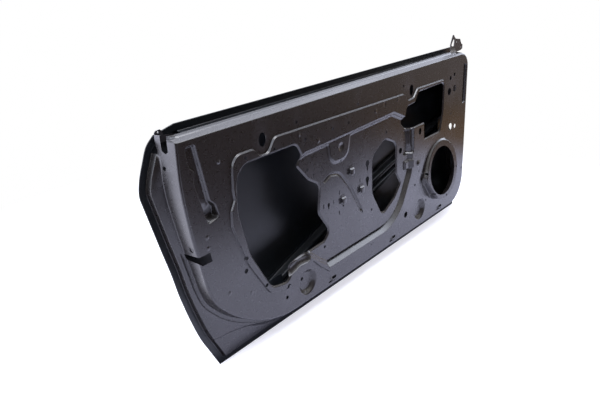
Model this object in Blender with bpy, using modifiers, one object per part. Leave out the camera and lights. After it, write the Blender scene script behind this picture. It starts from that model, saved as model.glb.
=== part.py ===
"""Front door shell of a two-door car, cabin side towards -Y, hinge end towards +X.

All sizes are in millimetres and are turned to metres where a mesh is made.
X runs from the latch end to the hinge end, Y from the cabin to the outside, Z up.
Outlines are drawn on the inner panel's main face: (0, 0) is its upper latch corner.
"""

import math

import bmesh
import bpy
import numpy as np
from mathutils import Vector
from mathutils.geometry import delaunay_2d_cdt

MM = 0.001

# Inner panel: the size of its main face, and the size that the outlines are drawn for
FACE_LENGTH = 1300.0
FACE_HEIGHT = 521.0
DRAWN_LENGTH = 1300.0
DRAWN_HEIGHT = 521.0

# Sheet metal
PANEL_SHEET = 0.8
SKIN_SHEET = 0.8
SEAM_GAP = 0.4
SEAT_GAP = 0.3

# Rim of the inner panel
EDGE_RADIUS = 6.0
WALL_SLOPE = 6.0
FLANGE_DROP = 18.0
STEP_DROP = 12.0
STEP_WIDTH = 3.5

# Belt at the top of the inner panel
BELT_RISE = 8.0
BELT_SHELF = 16.0
BELT_LIP = 19.0
SLOT_OUTER = 38.0
BRACKET_X = 1196.0

# Outer skin
HEM_WIDTH = 16.0
SKIN_BULGE = 32.0

# Pressed depths, negative towards the cabin
SEAL_LAND = -5.0
REGULATOR_PANEL = 8.0
HARNESS_DEPTH = 11.0
HARNESS_WIDTH = 30.0
ARC_GROOVE_DEPTH = 4.0
ARC_GROOVE_WIDTH = 13.0
PULL_RECESS = 20.0
DIMPLE_DEPTH = 10.0
DIMPLE_RADIUS = 32.0
DIMPLE_SLOPE = 12.0
EDGE_RECESS = 6.0
OPENING_ROLL = 3.5

# Speaker
SPEAKER_HOLE = 162.0
SPEAKER_X = 1102.0
SPEAKER_Z = -364.0
PAD_MARGIN = 23.0
PAD_FOOT = 3.0
PAD_TILT = 0.11
PAD_TURN = 0.03

# Side impact beam
BEAM_WIDTH = 62.0
BEAM_DEPTH = 19.0
BEAM_CLEARANCE = 3.6
BEAM_SHEET = 1.8

# Hinge end
HINGE_UPPER_Z = -110.0
HINGE_LOWER_Z = -385.0
HINGE_Y = 36.0
HINGE_PLATE = (40.0, 70.0, 5.0)
GROMMET_RADIUS = 17.0
GROMMET_Y = 44.0
GROMMET_Z = -268.0
CHECK_Z = -200.0

TURN = math.radians(24.0)


def scaled(points):
    """Drawn places moved to a door of the length and height that are set above."""
    share = np.array((FACE_LENGTH / DRAWN_LENGTH, FACE_HEIGHT / DRAWN_HEIGHT))
    return np.asarray(points, float) * share


def rounded(corners, closed=True):
    """An outline through corners (x, z, radius), with an arc at each corner."""
    places = scaled([corner[:2] for corner in corners])
    points = []
    for i, here in enumerate(places):
        radius = corners[i][2]
        if radius <= 0 or (not closed and i in (0, len(corners) - 1)):
            points.append(here)
            continue
        back = places[i - 1] - here
        ahead = places[(i + 1) % len(places)] - here
        room = 0.49 * min(np.linalg.norm(back), np.linalg.norm(ahead))
        back = back / np.linalg.norm(back)
        ahead = ahead / np.linalg.norm(ahead)
        corner = math.acos(max(-1.0, min(1.0, float(back @ ahead))))
        bend = math.pi - corner
        if bend < 0.03:
            points.append(here)
            continue
        reach = min(radius / math.tan(corner / 2), room)
        radius = reach * math.tan(corner / 2)
        middle = back + ahead
        centre = here + middle / np.linalg.norm(middle) * radius / math.sin(corner / 2)
        start = here + back * reach - centre
        end = here + ahead * reach - centre
        steps = max(1, math.ceil(bend / TURN))
        for step in range(steps + 1):
            share = step / steps
            first = math.sin((1 - share) * bend) / math.sin(bend)
            last = math.sin(share * bend) / math.sin(bend)
            points.append(centre + first * start + last * end)
    return np.array(points)


def smooth(knots, per=2):
    """An open curve through the knots (Catmull-Rom), with this many steps a knot."""
    knots = scaled(knots)
    ends = np.vstack((2 * knots[0] - knots[1], knots, 2 * knots[-1] - knots[-2]))
    points = []
    for i in range(1, len(ends) - 2):
        a, b, c, d = ends[i - 1 : i + 3]
        for step in range(per):
            t = step / per
            bend = (2 * a - 5 * b + 4 * c - d) * t * t + (3 * b - a - 3 * c + d) * t**3
            points.append(0.5 * (2 * b + (c - a) * t + bend))
    points.append(knots[-1])
    return np.array(points)


def round_hole(x, z, radius, sides=0):
    sides = sides or (6 if radius < 5 else 8 if radius < 9 else 12)
    turns = np.arange(sides) * 2 * math.pi / sides
    centre = scaled((x, z))
    return centre + radius * np.stack((np.cos(turns), np.sin(turns)), 1)


def oval_hole(x, z, half_width, half_height, sides=12):
    turns = np.arange(sides) * 2 * math.pi / sides
    shape = np.stack((half_width * np.cos(turns), half_height * np.sin(turns)), 1)
    return scaled((x, z)) + shape


def slot_hole(x, z, width, height):
    half = np.array((width, height)) / 2
    return scaled((x, z)) + half * np.array(((-1, -1), (1, -1), (1, 1), (-1, 1)))


def key_hole(x, z, radius, slot, length):
    """A round hole with a narrow slot below it."""
    turns = np.radians(np.arange(-55, 236, 290 / 9))
    ring = radius * np.stack((np.cos(turns), np.sin(turns)), 1)
    foot = np.array(((-slot / 2, -radius - length), (slot / 2, -radius - length)))
    return scaled((x, z)) + np.vstack((ring, foot))


def offset(outline, distance):
    """A closed outline moved outwards by the distance, its corners kept sharp."""
    ahead = np.roll(outline, -1, 0) - outline
    ahead = ahead / np.linalg.norm(ahead, axis=1)[:, None]
    normal = np.stack((ahead[:, 1], -ahead[:, 0]), 1)
    if area(outline) < 0:
        normal = -normal
    before = np.roll(normal, 1, 0)
    mitre = (normal + before) / (1 + (normal * before).sum(1))[:, None]
    return outline + np.asarray(distance).reshape(-1, 1) * mitre


def area(outline):
    x, z = outline.T
    return 0.5 * float((x * np.roll(z, -1) - np.roll(x, -1) * z).sum())


def line_distance(points, line):
    """How far each point is from an open line."""
    start, span = line[:-1], line[1:] - line[:-1]
    reach = points[:, None] - start[None]
    share = (reach * span).sum(-1) / (span * span).sum(-1)
    reach = reach - span * np.clip(share, 0, 1)[..., None]
    return np.sqrt((reach * reach).sum(-1)).min(1)


def depth_inside(points, outline):
    """How far each point lies inside a closed outline, negative outside it."""
    a, b = outline, np.roll(outline, -1, 0)
    away = line_distance(points, np.vstack((outline, outline[:1])))
    x, z = points[:, :1], points[:, 1:]
    rise = np.where(b[:, 1] == a[:, 1], 1e-9, b[:, 1] - a[:, 1])
    crossed = a[:, 0] + (z - a[:, 1]) * (b[:, 0] - a[:, 0]) / rise
    odd = (((a[:, 1] > z) != (b[:, 1] > z)) & (x < crossed)).sum(1) % 2
    return np.where(odd == 1, away, -away)


def ramp(distance, width):
    return np.clip(distance / width, 0, 1)


# Main face: latch edge, lower hinge corner, hinge edge and upper hinge corner
LATCH_EDGE = smooth(
    [
        (-3, 0), (-2, -100), (12, -200), (25, -260), (34, -300), (44, -340), (60, -378),
        (85, -408), (120, -440), (165, -470), (225, -500), (285, -517), (330, -521),
    ],
    1,
)
SKY = 200.0
HINGE_EDGE = rounded(
    [
        (700, -521, 0), (1300, -521, 95), (1300, -340, 0), (1300, -200, 0),
        (1300, -90, 0), (1300, -20, 60), (1240, 6, 20), (1236, SKY, 0),
    ],
    closed=False,
)
FACE = np.vstack((LATCH_EDGE, HINGE_EDGE, [(LATCH_EDGE[0, 0], HINGE_EDGE[-1, 1])]))

# Hem: the outer edge of the skin, down the latch end, up the hinge end and back
HEM_LATCH = scaled(
    [
        (-6, 4), (-26, -15), (-40, -45), (-52, -75), (-58, -105), (-53, -132),
        (-43, -175), (-30, -230), (-16, -285), (-4, -338), (10, -385), (26, -431),
        (45, -477), (70, -523), (95, -569),
    ]
)
HEM_HINGE = scaled(
    [
        (1331, -569), (1340, -470), (1346, -360), (1348, -250), (1346, -140),
        (1340, -40), (1328, 10),
    ]
)
HEM_TOP = scaled([(1000, 11.5), (660, 13), (340, 14.5), (48, 16)])
HEM_STEP = 62.0


def divided(line, closed=False):
    """A line with points added where two of them are far apart."""
    ends = np.vstack((line, line[:1])) if closed else line
    points = []
    for start, end in zip(ends[:-1], ends[1:]):
        pieces = max(1, math.ceil(np.linalg.norm(end - start) / HEM_STEP))
        points += [start + (end - start) * i / pieces for i in range(pieces)]
    return np.array(points if closed else points + [ends[-1]])


HEM = divided(np.vstack((HEM_LATCH, HEM_HINGE, HEM_TOP)), closed=True)
SIDES = slice(2, len(divided(np.vstack((HEM_LATCH, HEM_HINGE)))) - 1)
HEM_OPEN = np.vstack((HEM[SIDES], [(HEM_HINGE[-1, 0], SKY)], [(HEM_LATCH[2, 0], SKY)]))

# How far out the lip of the hem lies, down the latch end: (height, depth)
LATCH_HEM = ((16, 60), (-90, 58), (-200, 49), (-300, 42), (-400, 40.5), (-500, 42), (-569, 44))
HINGE_HEM_TOP = 62.0
HINGE_HEM_BOTTOM = 46.0
HINGE_HEM_BULGE = 31.0


def skin_depth(points):
    """The outer face of the skin at places (x, z)."""
    x, z = points.T
    share = FACE_HEIGHT / DRAWN_HEIGHT
    bottom, top = HEM_LATCH[-1, 1], HEM_TOP[-1, 1]
    height = np.clip((z - bottom) / (top - bottom), 0, 1)
    knots = np.array(LATCH_HEM[::-1], float)
    latch = np.interp(z / share, knots[:, 0], knots[:, 1])
    for nudge in (-30, 30):
        latch = latch + np.interp(z / share + nudge, knots[:, 0], knots[:, 1])
    latch = latch / 3
    rise = 4 * height * (1 - height)
    hinge = HINGE_HEM_BOTTOM + (HINGE_HEM_TOP - HINGE_HEM_BOTTOM) * height
    hinge = hinge + HINGE_HEM_BULGE * rise
    left = np.interp(z, HEM_LATCH[::-1, 1], HEM_LATCH[::-1, 0])
    right = np.interp(z, HEM_HINGE[:, 1], HEM_HINGE[:, 0])
    along = np.clip((x - left) / (right - left), 0, 1)
    depth = latch + (hinge - latch) * along
    depth = depth + SKIN_BULGE * 4 * along * (1 - along) * rise
    return depth + 3 * SKIN_SHEET + 2 * SEAM_GAP


def lip_depth(points):
    return skin_depth(points) - 3 * SKIN_SHEET - 2 * SEAM_GAP


# Openings of the main face
REAR_OPENING = rounded(
    [
        (143, -92, 42), (350, -92, 24), (360, -126, 8), (336, -140, 9), (380, -188, 30),
        (424, -212, 24), (414, -288, 24), (462, -352, 18), (448, -376, 20),
        (312, -386, 14), (306, -428, 26), (236, -414, 34), (168, -306, 90),
        (140, -196, 80),
    ]
)
MIDDLE_OPENING = rounded(
    [
        (674, -205, 34), (740, -170, 30), (798, -196, 30), (793, -292, 12),
        (828, -334, 12), (790, -370, 30), (726, -395, 14), (674, -312, 50),
    ]
)
FRONT_OPENING = rounded(
    [
        (946, -76, 16), (1112, -75, 16), (1110, -172, 60), (1094, -230, 12),
        (992, -231, 4), (987, -177, 4), (916, -176, 20), (858, -166, 16),
        (834, -146, 8), (862, -130, 8), (876, -108, 14), (926, -104, 12),
    ]
)
SPEAKER_OPENING = round_hole(SPEAKER_X, SPEAKER_Z, SPEAKER_HOLE / 2, 32)

# Raised and sunk forms of the main face
SEAL_OUTLINE = rounded(
    [
        (138, -66, 30), (208, -66, 22), (226, -87, 18), (254, -87, 18), (276, -56, 22),
        (858, -65, 15), (884, -89, 14), (916, -86, 14), (938, -63, 14), (1124, -65, 16),
        (1124, -240, 24), (1028, -246, 30), (889, -470, 26), (476, -471, 25),
        (434, -446, 10), (398, -412, 16), (350, -426, 24), (300, -446, 40),
        (232, -432, 36), (165, -330, 60), (123, -220, 50), (125, -184, 12),
        (137, -163, 6), (134, -140, 10),
    ]
)
REGULATOR_OUTLINE = rounded(
    [
        (338, -134, 0), (385, -119, 14), (474, -116, 8), (496, -162, 14),
        (516, -179, 12), (550, -175, 14), (590, -113, 8), (800, -106, 14),
        (868, -134, 10), (883, -170, 0), (878, -230, 0), (876, -300, 20),
        (838, -350, 40), (745, -424, 60), (689, -436, 30), (461, -436, 20),
        (410, -414, 20), (384, -396, 10), (330, -388, 0), (326, -260, 0),
    ]
)
HARNESS_LINE = rounded(
    [
        (300, -404, 0), (350, -390, 40), (400, -398, 20), (424, -436, 18),
        (756, -436, 130), (876, -312, 36), (884, -160, 0),
    ],
    closed=False,
)
ARC_GROOVE_LINE = rounded(
    [(445, -210, 0), (472, -200, 20), (512, -208, 60), (560, -262, 80), (612, -342, 0)],
    closed=False,
)
PULL_OUTLINE = rounded(
    [
        (15, -17, 9), (45, -16, 8), (72, -142, 6), (86, -155, 8), (95, -186, 8),
        (60, -194, 8), (44, -142, 20), (30, -94, 8), (36, -74, 8), (22, -60, 10),
    ]
)
EDGE_RECESS_OUTLINE = rounded([(1264, -36, 6), (1289, -40, 6), (1288, -172, 6), (1262, -172, 6)])
TIE_OUTLINE = rounded([(854, -260, 5), (902, -260, 5), (902, -302, 5), (854, -302, 5)])
DIMPLES = ((379, -464), (973, -460))


def pad_outline():
    """The speaker pad: a round pad whose lower latch side is cut off straight."""
    radius = SPEAKER_HOLE / 2 + PAD_MARGIN
    turns = np.radians(np.arange(165, -121, -285 / 17))
    ring = radius * np.stack((np.cos(turns), np.sin(turns)), 1)
    centre = scaled((SPEAKER_X + 5, SPEAKER_Z + 2))
    corner = centre + radius * np.array((-1.12, -0.12))
    return np.vstack((centre + ring, [corner]))


PAD_OUTLINE = pad_outline()


def wall_reach(depth):
    """How far outside the face's edge the end wall lies at a depth."""
    return 0.15 * EDGE_RADIUS + (depth - EDGE_RADIUS) / WALL_SLOPE


def rim_depth(points):
    """The end walls, the flange outside them and the step down to the hem."""
    outward = -depth_inside(points, FACE)
    inward = depth_inside(points, HEM_OPEN)
    lip = lip_depth(points)
    rows = [(-5, 0), (-1.5, 0.9), (0.15, 1.0)]
    reach = [row[0] * (EDGE_RADIUS / 6 if row[0] < 0 else EDGE_RADIUS) for row in rows]
    sunk = [0.0, 0.9 * EDGE_RADIUS / 6, EDGE_RADIUS]
    wall = np.interp(outward, reach, sunk)
    wall = np.where(outward > reach[-1], EDGE_RADIUS + WALL_SLOPE * (outward - reach[-1]), wall)
    foot = wall_reach(lip - FLANGE_DROP)
    beyond = np.maximum(outward - foot, 0)
    left = np.maximum(inward - step_outer(), 0.001)
    flange = lip - FLANGE_DROP + (FLANGE_DROP - STEP_DROP) * beyond / (beyond + left)
    depth = np.where(outward < foot, np.minimum(wall, flange), flange)
    seam = skin_depth(points) - 2 * PANEL_SHEET - SEAM_GAP
    share = np.clip((step_outer() - inward) / STEP_WIDTH, 0, 1)
    return np.where(inward < step_outer(), depth + (seam - depth) * share, depth)


def step_outer():
    """How far inside the hem's edge the step ends."""
    return HEM_WIDTH + 1.5 + STEP_WIDTH


def pressed_depth(points):
    """Everything pressed into the main face, added up."""
    depth = SEAL_LAND * ramp(depth_inside(points, SEAL_OUTLINE), 5)
    depth = depth + REGULATOR_PANEL * ramp(depth_inside(points, REGULATOR_OUTLINE), 12)
    harness = 1 - np.clip(line_distance(points, HARNESS_LINE) / (HARNESS_WIDTH / 2), 0, 1) ** 2
    depth = depth + HARNESS_DEPTH * np.sqrt(harness)
    arc = 1 - np.clip(line_distance(points, ARC_GROOVE_LINE) / (ARC_GROOVE_WIDTH / 2), 0, 1)
    depth = depth + ARC_GROOVE_DEPTH * arc
    depth = depth + PULL_RECESS * ramp(depth_inside(points, PULL_OUTLINE), 7)
    depth = depth + EDGE_RECESS * ramp(depth_inside(points, EDGE_RECESS_OUTLINE), 5)
    depth = depth - 5 * ramp(depth_inside(points, TIE_OUTLINE), 8)
    for dimple in DIMPLES:
        away = np.linalg.norm(points - scaled(dimple), axis=1)
        depth = depth + DIMPLE_DEPTH * ramp(DIMPLE_RADIUS - away, DIMPLE_SLOPE)
    x, z = points.T
    top = scaled((SPEAKER_X, SPEAKER_Z))[1] + SPEAKER_HOLE / 2 + PAD_MARGIN
    side = scaled((SPEAKER_X, SPEAKER_Z))[0] - SPEAKER_HOLE / 2 - PAD_MARGIN
    pad = -PAD_FOOT - PAD_TILT * (top - z) - PAD_TURN * (x - side)
    share = ramp(depth_inside(points, PAD_OUTLINE), 7)
    depth = depth * (1 - share) + pad * share
    for opening in (REAR_OPENING, MIDDLE_OPENING, FRONT_OPENING, SPEAKER_OPENING):
        depth = depth + OPENING_ROLL * ramp(depth_inside(points, opening) + 4, 4)
    return depth


def panel_depth(points):
    """The cabin side of the inner panel at places (x, z)."""
    x, z = points.T
    belt = np.interp(z, (-5, -1.5, 0, 1, BELT_RISE), (0, 0.9, EDGE_RADIUS, BELT_SHELF, BELT_LIP))
    return np.maximum(rim_depth(points) + pressed_depth(points), belt * (z > -5) - 99 * (z <= -5))


def on_wall(end, z, depth):
    """The place (x, z) where the end wall has this depth."""
    rim = LATCH_EDGE if end == "latch" else HINGE_EDGE
    order = np.argsort(rim[:, 1])
    side = rim[order][:, 1]
    x = np.interp(z, side, rim[order][:, 0])
    return x + (-1 if end == "latch" else 1) * wall_reach(depth), z


def wall_hole(end, z, depth, half_depth, half_height, sides=10):
    """An oval hole through an end wall, as its outline on the main face."""
    z = z * FACE_HEIGHT / DRAWN_HEIGHT
    turns = np.arange(sides) * 2 * math.pi / sides
    return np.array(
        [
            on_wall(end, z + half_height * math.sin(turn), depth + half_depth * math.cos(turn))
            for turn in turns
        ]
    )


def hook_slots(x, z):
    """The two slots beside the tongue that the door trim hooks on."""
    return [slot_hole(x - 2, z - 4, 34, 5), slot_hole(x + 5, z + 5, 22, 5)]


def panel_holes():
    holes = [REAR_OPENING, MIDDLE_OPENING, FRONT_OPENING, SPEAKER_OPENING]
    holes += [oval_hole(240, -55, 12, 16), oval_hole(907, -64, 11, 17)]
    holes += [oval_hole(959, -200, 8, 11, 10), key_hole(645, -216, 9, 5, 12)]
    holes += [key_hole(645, -263, 9, 5, 12), key_hole(459, -278, 5, 3, 8)]
    for x, z in ((437, -277), (481, -277), (508, -260), (506, -316), (607, -255)):
        holes.append(slot_hole(x, z, 3.5, 12))
    rounds = (
        (361, -42, 4), (621, -50, 4), (860, -44, 4), (179, -80, 4), (273, -84, 4),
        (385, -88, 4), (498, -88, 4), (568, -88, 4), (514, -164, 3), (523, -140, 9),
        (374, -159, 4), (398, -179, 3), (748, -152, 4), (440, -391, 4), (667, -361, 4),
        (525, -302, 3), (301, -442, 7), (297, -472, 5), (220, -402, 5), (160, -308, 5),
        (160, -341, 6), (851, -234, 10), (958, -329, 3), (986, -364, 4), (934, -367, 4),
        (1286, -408, 4), (879, -449, 10), (688, -475, 5), (1168, -71, 7), (1196, -63, 6),
        (1163, -114, 12), (1202, -109, 11), (1181, -235, 12), (1216, -240, 7),
        (1171, -289, 3.5), (1006, -352, 3.5), (1044, -430, 3.5), (1117, -453, 3.5),
        (1197, -375, 3.5), (1021, -446, 3.5), (370, -456, 5), (952, -453, 5), (618, -350, 3.5),
    )
    holes += [round_hole(*place) for place in rounds]
    for x in (491, 809, 1121):
        holes += hook_slots(x, -505)
    holes.append(wall_hole("hinge", GROMMET_Z, GROMMET_Y, GROMMET_RADIUS, GROMMET_RADIUS, 14))
    holes.append(wall_hole("hinge", CHECK_Z, 36, 12, 12, 4))
    holes.append(wall_hole("latch", -236, 12, 5, 7, 6))
    holes.append(wall_hole("latch", -58, 34, 4, 5, 6))
    holes.append(scaled([(57, -254), (62, -276), (33, -276), (19, -263), (15, -249), (26, -254)]))
    x0, x1 = LATCH_EDGE[0, 0] - wall_reach(21), LATCH_EDGE[0, 0] - wall_reach(35)
    holes.append(np.array([(x0, 30), (x1, 30), (x1, -24), ((x0 + x1) / 2, -29), (x0, -24)]))
    return holes


def single(line):
    """Places as Blender stores them, so that tests against its own points agree."""
    return np.asarray(line, np.float32).astype(float)


def triangulated(rim, lines, points, holes):
    """Triangles inside the rim that keep to the given closed and open lines."""
    rim = single(rim)
    holes = [single(hole) for hole in holes]
    places, edges = [], []
    for line, closed in [(rim, True)] + lines + [(hole, True) for hole in holes]:
        first = len(places)
        places += [Vector(place) for place in line]
        edges += [(first + i, first + i + 1) for i in range(len(line) - 1)]
        if closed:
            edges.append((first + len(line) - 1, first))
    places += [Vector(place) for place in points]
    found = delaunay_2d_cdt(places, edges, [], 0, 0.02)
    spots = np.array([tuple(place) for place in found[0]])
    faces = np.array([face for face in found[2] if len(face) == 3])
    middle = spots[faces].mean(1)
    keep = depth_inside(middle, rim) > 0
    for hole in holes:
        keep &= depth_inside(middle, hole) < 0
    return spots, faces[keep]


def material(name, colour, roughness, metallic=0.0):
    made = bpy.data.materials.new(name)
    made.use_nodes = True
    shader = made.node_tree.nodes["Principled BSDF"]
    shader.inputs["Base Color"].default_value = (*colour, 1.0)
    shader.inputs["Roughness"].default_value = roughness
    shader.inputs["Metallic"].default_value = metallic
    return made


def add_mesh(name, vertices, faces, finish, thickness=0.0, smooth_below=32.0):
    """A named object from vertices in millimetres, thickened as a sheet if asked."""
    mesh = bpy.data.meshes.new(name)
    mesh.from_pydata([Vector(v) * MM for v in vertices], [], [tuple(map(int, f)) for f in faces])
    mesh.materials.append(finish)
    work = bmesh.new()
    work.from_mesh(mesh)
    bmesh.ops.remove_doubles(work, verts=work.verts, dist=0.01 * MM)
    loose = [vertex for vertex in work.verts if not vertex.link_faces]
    bmesh.ops.delete(work, geom=loose, context="VERTS")
    if thickness == 0.0:
        bmesh.ops.recalc_face_normals(work, faces=work.faces)
    work.to_mesh(mesh)
    work.free()
    mesh.shade_smooth()
    mesh.set_sharp_from_angle(angle=math.radians(smooth_below))
    piece = bpy.data.objects.new(name, mesh)
    parts.objects.link(piece)
    piece.parent = frame
    if thickness:
        sheet = piece.modifiers.new("sheet", "SOLIDIFY")
        sheet.thickness = thickness * MM
        sheet.offset = -1.0
    return piece


def facing(vertices, faces, direction):
    """The faces turned so that together they face the direction."""
    vertices, faces = np.asarray(vertices, float), np.asarray(faces)
    a, b, c = (vertices[faces[:, i]] for i in range(3))
    if (np.cross(b - a, c - a) @ np.asarray(direction, float)).sum() < 0:
        faces = faces[:, ::-1]
    return faces


def build_inner_panel(finish):
    """The deep-drawn inner panel: one sheet from the belt to the hem flange."""
    seam = offset(HEM, -(2 * SKIN_SHEET + 2 * SEAM_GAP))[SIDES]
    edge = np.vstack((LATCH_EDGE, HINGE_EDGE))
    closed_edge = FACE
    foot = wall_reach(lip_depth(closed_edge) - FLANGE_DROP)
    corner = offset(closed_edge, foot + 3)[len(LATCH_EDGE) : len(edge)]
    corner = corner[(corner[:, 1] > -45) & (corner[:, 1] < -1)]
    x0 = LATCH_EDGE[0, 0] - wall_reach(42)
    x1 = BRACKET_X * FACE_LENGTH / DRAWN_LENGTH
    belt = divided(np.array([(x1, BELT_RISE), (x0, BELT_RISE)]))
    flat = offset(HEM, -(HEM_WIDTH + 1.5))[SIDES]
    step = offset(HEM, -step_outer())[SIDES]
    rim = np.vstack(
        (seam, flat[-1:], step[-1:], corner, [(x1 + 40, -1), (x1, -1)], belt, [(x0, -24)],
         step[:1], flat[:1])
    )
    lines = [(flat, False), (step, False)]
    for away in (-5 * EDGE_RADIUS / 6, -1.5 * EDGE_RADIUS / 6, 0.15 * EDGE_RADIUS, foot):
        ring = offset(closed_edge, away * np.ones(len(closed_edge)))[: len(edge)]
        lines.append((divided(ring), False))
    for height in (-5, -1.5, 0, 1):
        line = np.array([(x0 - 3, height), (HINGE_EDGE[-1, 0] + 6, height)])
        lines.append((divided(line), False))
    for outline, width in (
        (SEAL_OUTLINE, 5), (REGULATOR_OUTLINE, 12), (PULL_OUTLINE, 7), (PAD_OUTLINE, 7),
        (EDGE_RECESS_OUTLINE, 5), (TIE_OUTLINE, 8),
    ):
        lines += [(outline, True), (offset(outline, -width), True)]
    for dimple in DIMPLES:
        lines += [(round_hole(*dimple, DIMPLE_RADIUS, 16), True)]
        lines += [(round_hole(*dimple, DIMPLE_RADIUS - DIMPLE_SLOPE, 16), True)]
    lines += beside(HARNESS_LINE, (0, 0.55, 0.88, 1.0), HARNESS_WIDTH / 2)
    lines += beside(ARC_GROOVE_LINE, (0, 1.0), ARC_GROOVE_WIDTH / 2)
    for opening in (REAR_OPENING, MIDDLE_OPENING, FRONT_OPENING, SPEAKER_OPENING):
        lines.append((offset(opening, 4), True))
    spots, faces = triangulated(rim, lines, [], panel_holes())
    depth = panel_depth(spots)
    vertices = np.stack((spots[:, 0], depth, spots[:, 1]), 1)
    faces = facing(vertices, faces, (0, -1, 0))
    return add_mesh("inner_panel", vertices, faces, finish, PANEL_SHEET)


def beside(line, shares, half_width):
    """Lines that run along both sides of a groove's middle line."""
    ahead = np.gradient(line, axis=0)
    ahead = ahead / np.linalg.norm(ahead, axis=1)[:, None]
    normal = np.stack((-ahead[:, 1], ahead[:, 0]), 1)
    found = [(line, False)]
    for share in shares[1:]:
        for side in (-1, 1):
            found.append((line + side * share * half_width * normal, False))
    return found


def skin_holes():
    """The pull handle's opening and the lock's hole."""
    handle = rounded([(70, -96, 12), (226, -90, 12), (228, -124, 12), (72, -130, 12)])
    return [handle, round_hole(40, -118, 11, 10)]


def handle_rings():
    """The doubler round the pull handle: its outline and its hole."""
    outline = rounded([(56, -74, 14), (250, -70, 14), (254, -144, 14), (60, -150, 14)])
    return outline, offset(skin_holes()[0], 2)


def build_outer_skin(finish):
    """The outer skin, its edge folded flat over the inner panel's flange."""
    fold = (3 * SKIN_SHEET + 2 * SEAM_GAP) / 2
    rim = offset(HEM, -fold)
    inner_ring = offset(HEM, -(HEM_WIDTH + 6))
    grid = []
    for z in np.arange(HEM_LATCH[-1, 1] + 70, -30, 72):
        for x in np.arange(60, HEM_HINGE[-1, 0] - 40, 105):
            grid.append((x, z))
    grid = np.array(grid)
    grid = grid[depth_inside(grid, inner_ring) > 25]
    grid = grid[depth_inside(grid, handle_rings()[0]) < -10]
    lines = [(inner_ring, True)] + [(ring, True) for ring in handle_rings()]
    spots, faces = triangulated(rim, lines, grid, skin_holes())
    vertices = np.stack((spots[:, 0], skin_depth(spots), spots[:, 1]), 1)
    faces = facing(vertices, faces, (0, 1, 0))
    rows = [(fold, 0.0)]
    for turn in (45, 90, 135, 180):
        rows.append((fold - fold * math.sin(math.radians(turn)),
                     fold - fold * math.cos(math.radians(turn))))
    rows.append((HEM_WIDTH, 2 * fold))
    count = len(HEM)
    loops = []
    for inset, sunk in rows:
        ring = offset(HEM, -inset) if inset > 0 else HEM
        loops.append(np.stack((ring[:, 0], skin_depth(ring) - sunk, ring[:, 1]), 1))
    first = len(vertices)
    vertices = np.vstack([vertices] + loops)
    hem = []
    for row in range(len(loops) - 1):
        for i in range(count):
            a, b = first + row * count + i, first + row * count + (i + 1) % count
            c, d = b + count, a + count
            hem += [(a, b, c), (a, c, d)]
    hem = np.array(hem)
    outwards = facing_out(vertices, hem)
    faces = np.vstack((faces, outwards))
    return add_mesh("outer_skin", vertices, faces, finish, SKIN_SHEET)


def facing_out(vertices, faces):
    """The fold's faces turned so that its last row faces the cabin."""
    a, b, c = (vertices[faces[-2:, i]] for i in range(3))
    if np.cross(b - a, c - a)[:, 1].sum() > 0:
        return faces[:, ::-1]
    return faces


def sheet(name, rows, finish, thickness, direction):
    """A sheet through rows of places (x, y, z) that all have the same count."""
    vertices = [place for row in rows for place in row]
    across = len(rows[0])
    faces = []
    for row in range(len(rows) - 1):
        for i in range(across - 1):
            a = row * across + i
            faces += [(a, a + 1, a + across + 1), (a, a + across + 1, a + across)]
    return add_mesh(name, vertices, facing(vertices, faces, direction), finish, thickness)


def plate(name, outline, holes, place, finish, thickness, direction, folds=()):
    """A sheet cut to an outline with holes, laid where place(u, v) puts it."""
    folds = [(np.asarray(fold, float), False) for fold in folds]
    spots, faces = triangulated(np.asarray(outline, float), folds, [], holes)
    vertices = [place(u, v) for u, v in spots]
    return add_mesh(name, vertices, facing(vertices, faces, direction), finish, thickness)


def skin_at(x, z):
    return float(skin_depth(np.array([(x, z)], float))[0])


def panel_at(x, z):
    return float(panel_depth(np.array([(x, z)], float))[0])


def wall_x(end, z, depth, gap):
    """Where a piece stands inside the panel's end wall, its sheet and a gap allowed for."""
    x = on_wall(end, z, depth)[0]
    inside = PANEL_SHEET + gap
    return x + inside if end == "latch" else x - inside


def build_belt_reinforcements(finish):
    """The strips behind both sides of the window slot."""
    top = divided(np.vstack((HEM_HINGE[-1:] - (52, 0), HEM_TOP)))
    top[-1, 0] += 8
    rows = []
    for x, z in top:
        seam = [z - 3.2, z - 17.5]
        row = [(x, skin_at(x, height) - 2 * SKIN_SHEET - SEAM_GAP, height) for height in seam]
        row += [(x, SLOT_OUTER, z - 22), (x, SLOT_OUTER, z - 52)]
        row += [(x, skin_at(x, z - 60) - 9, z - 60), (x, skin_at(x, z - 72) - 7, z - 72)]
        rows.append(row)
    sheet("outer_belt_reinforcement", rows, finish, SKIN_SHEET, (0, -1, 0))
    back = BELT_LIP + PANEL_SHEET + 2 * SEAT_GAP
    low = PANEL_SHEET + 2 * SEAT_GAP
    profile = [(back, BELT_RISE - 1), (back, -4), (back + 4, -10), (back + 4, -26)]
    profile += [(low, -33), (low, -37)]
    ends = scaled([(108, 0), (BRACKET_X - 8, 0)])
    rows = [[(x, y, z) for y, z in profile] for x, _ in ends]
    sheet("inner_belt_reinforcement", rows, finish, 1.0, (0, -1, 0))


def beam_line(x):
    """The height of the beam's middle at a place along the door."""
    share = DRAWN_LENGTH / FACE_LENGTH
    return (-464 + 0.2215 * (x * share - 315)) * FACE_HEIGHT / DRAWN_HEIGHT


def beam_foot(x, z):
    return skin_at(x, z) - BEAM_CLEARANCE - BEAM_SHEET


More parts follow.
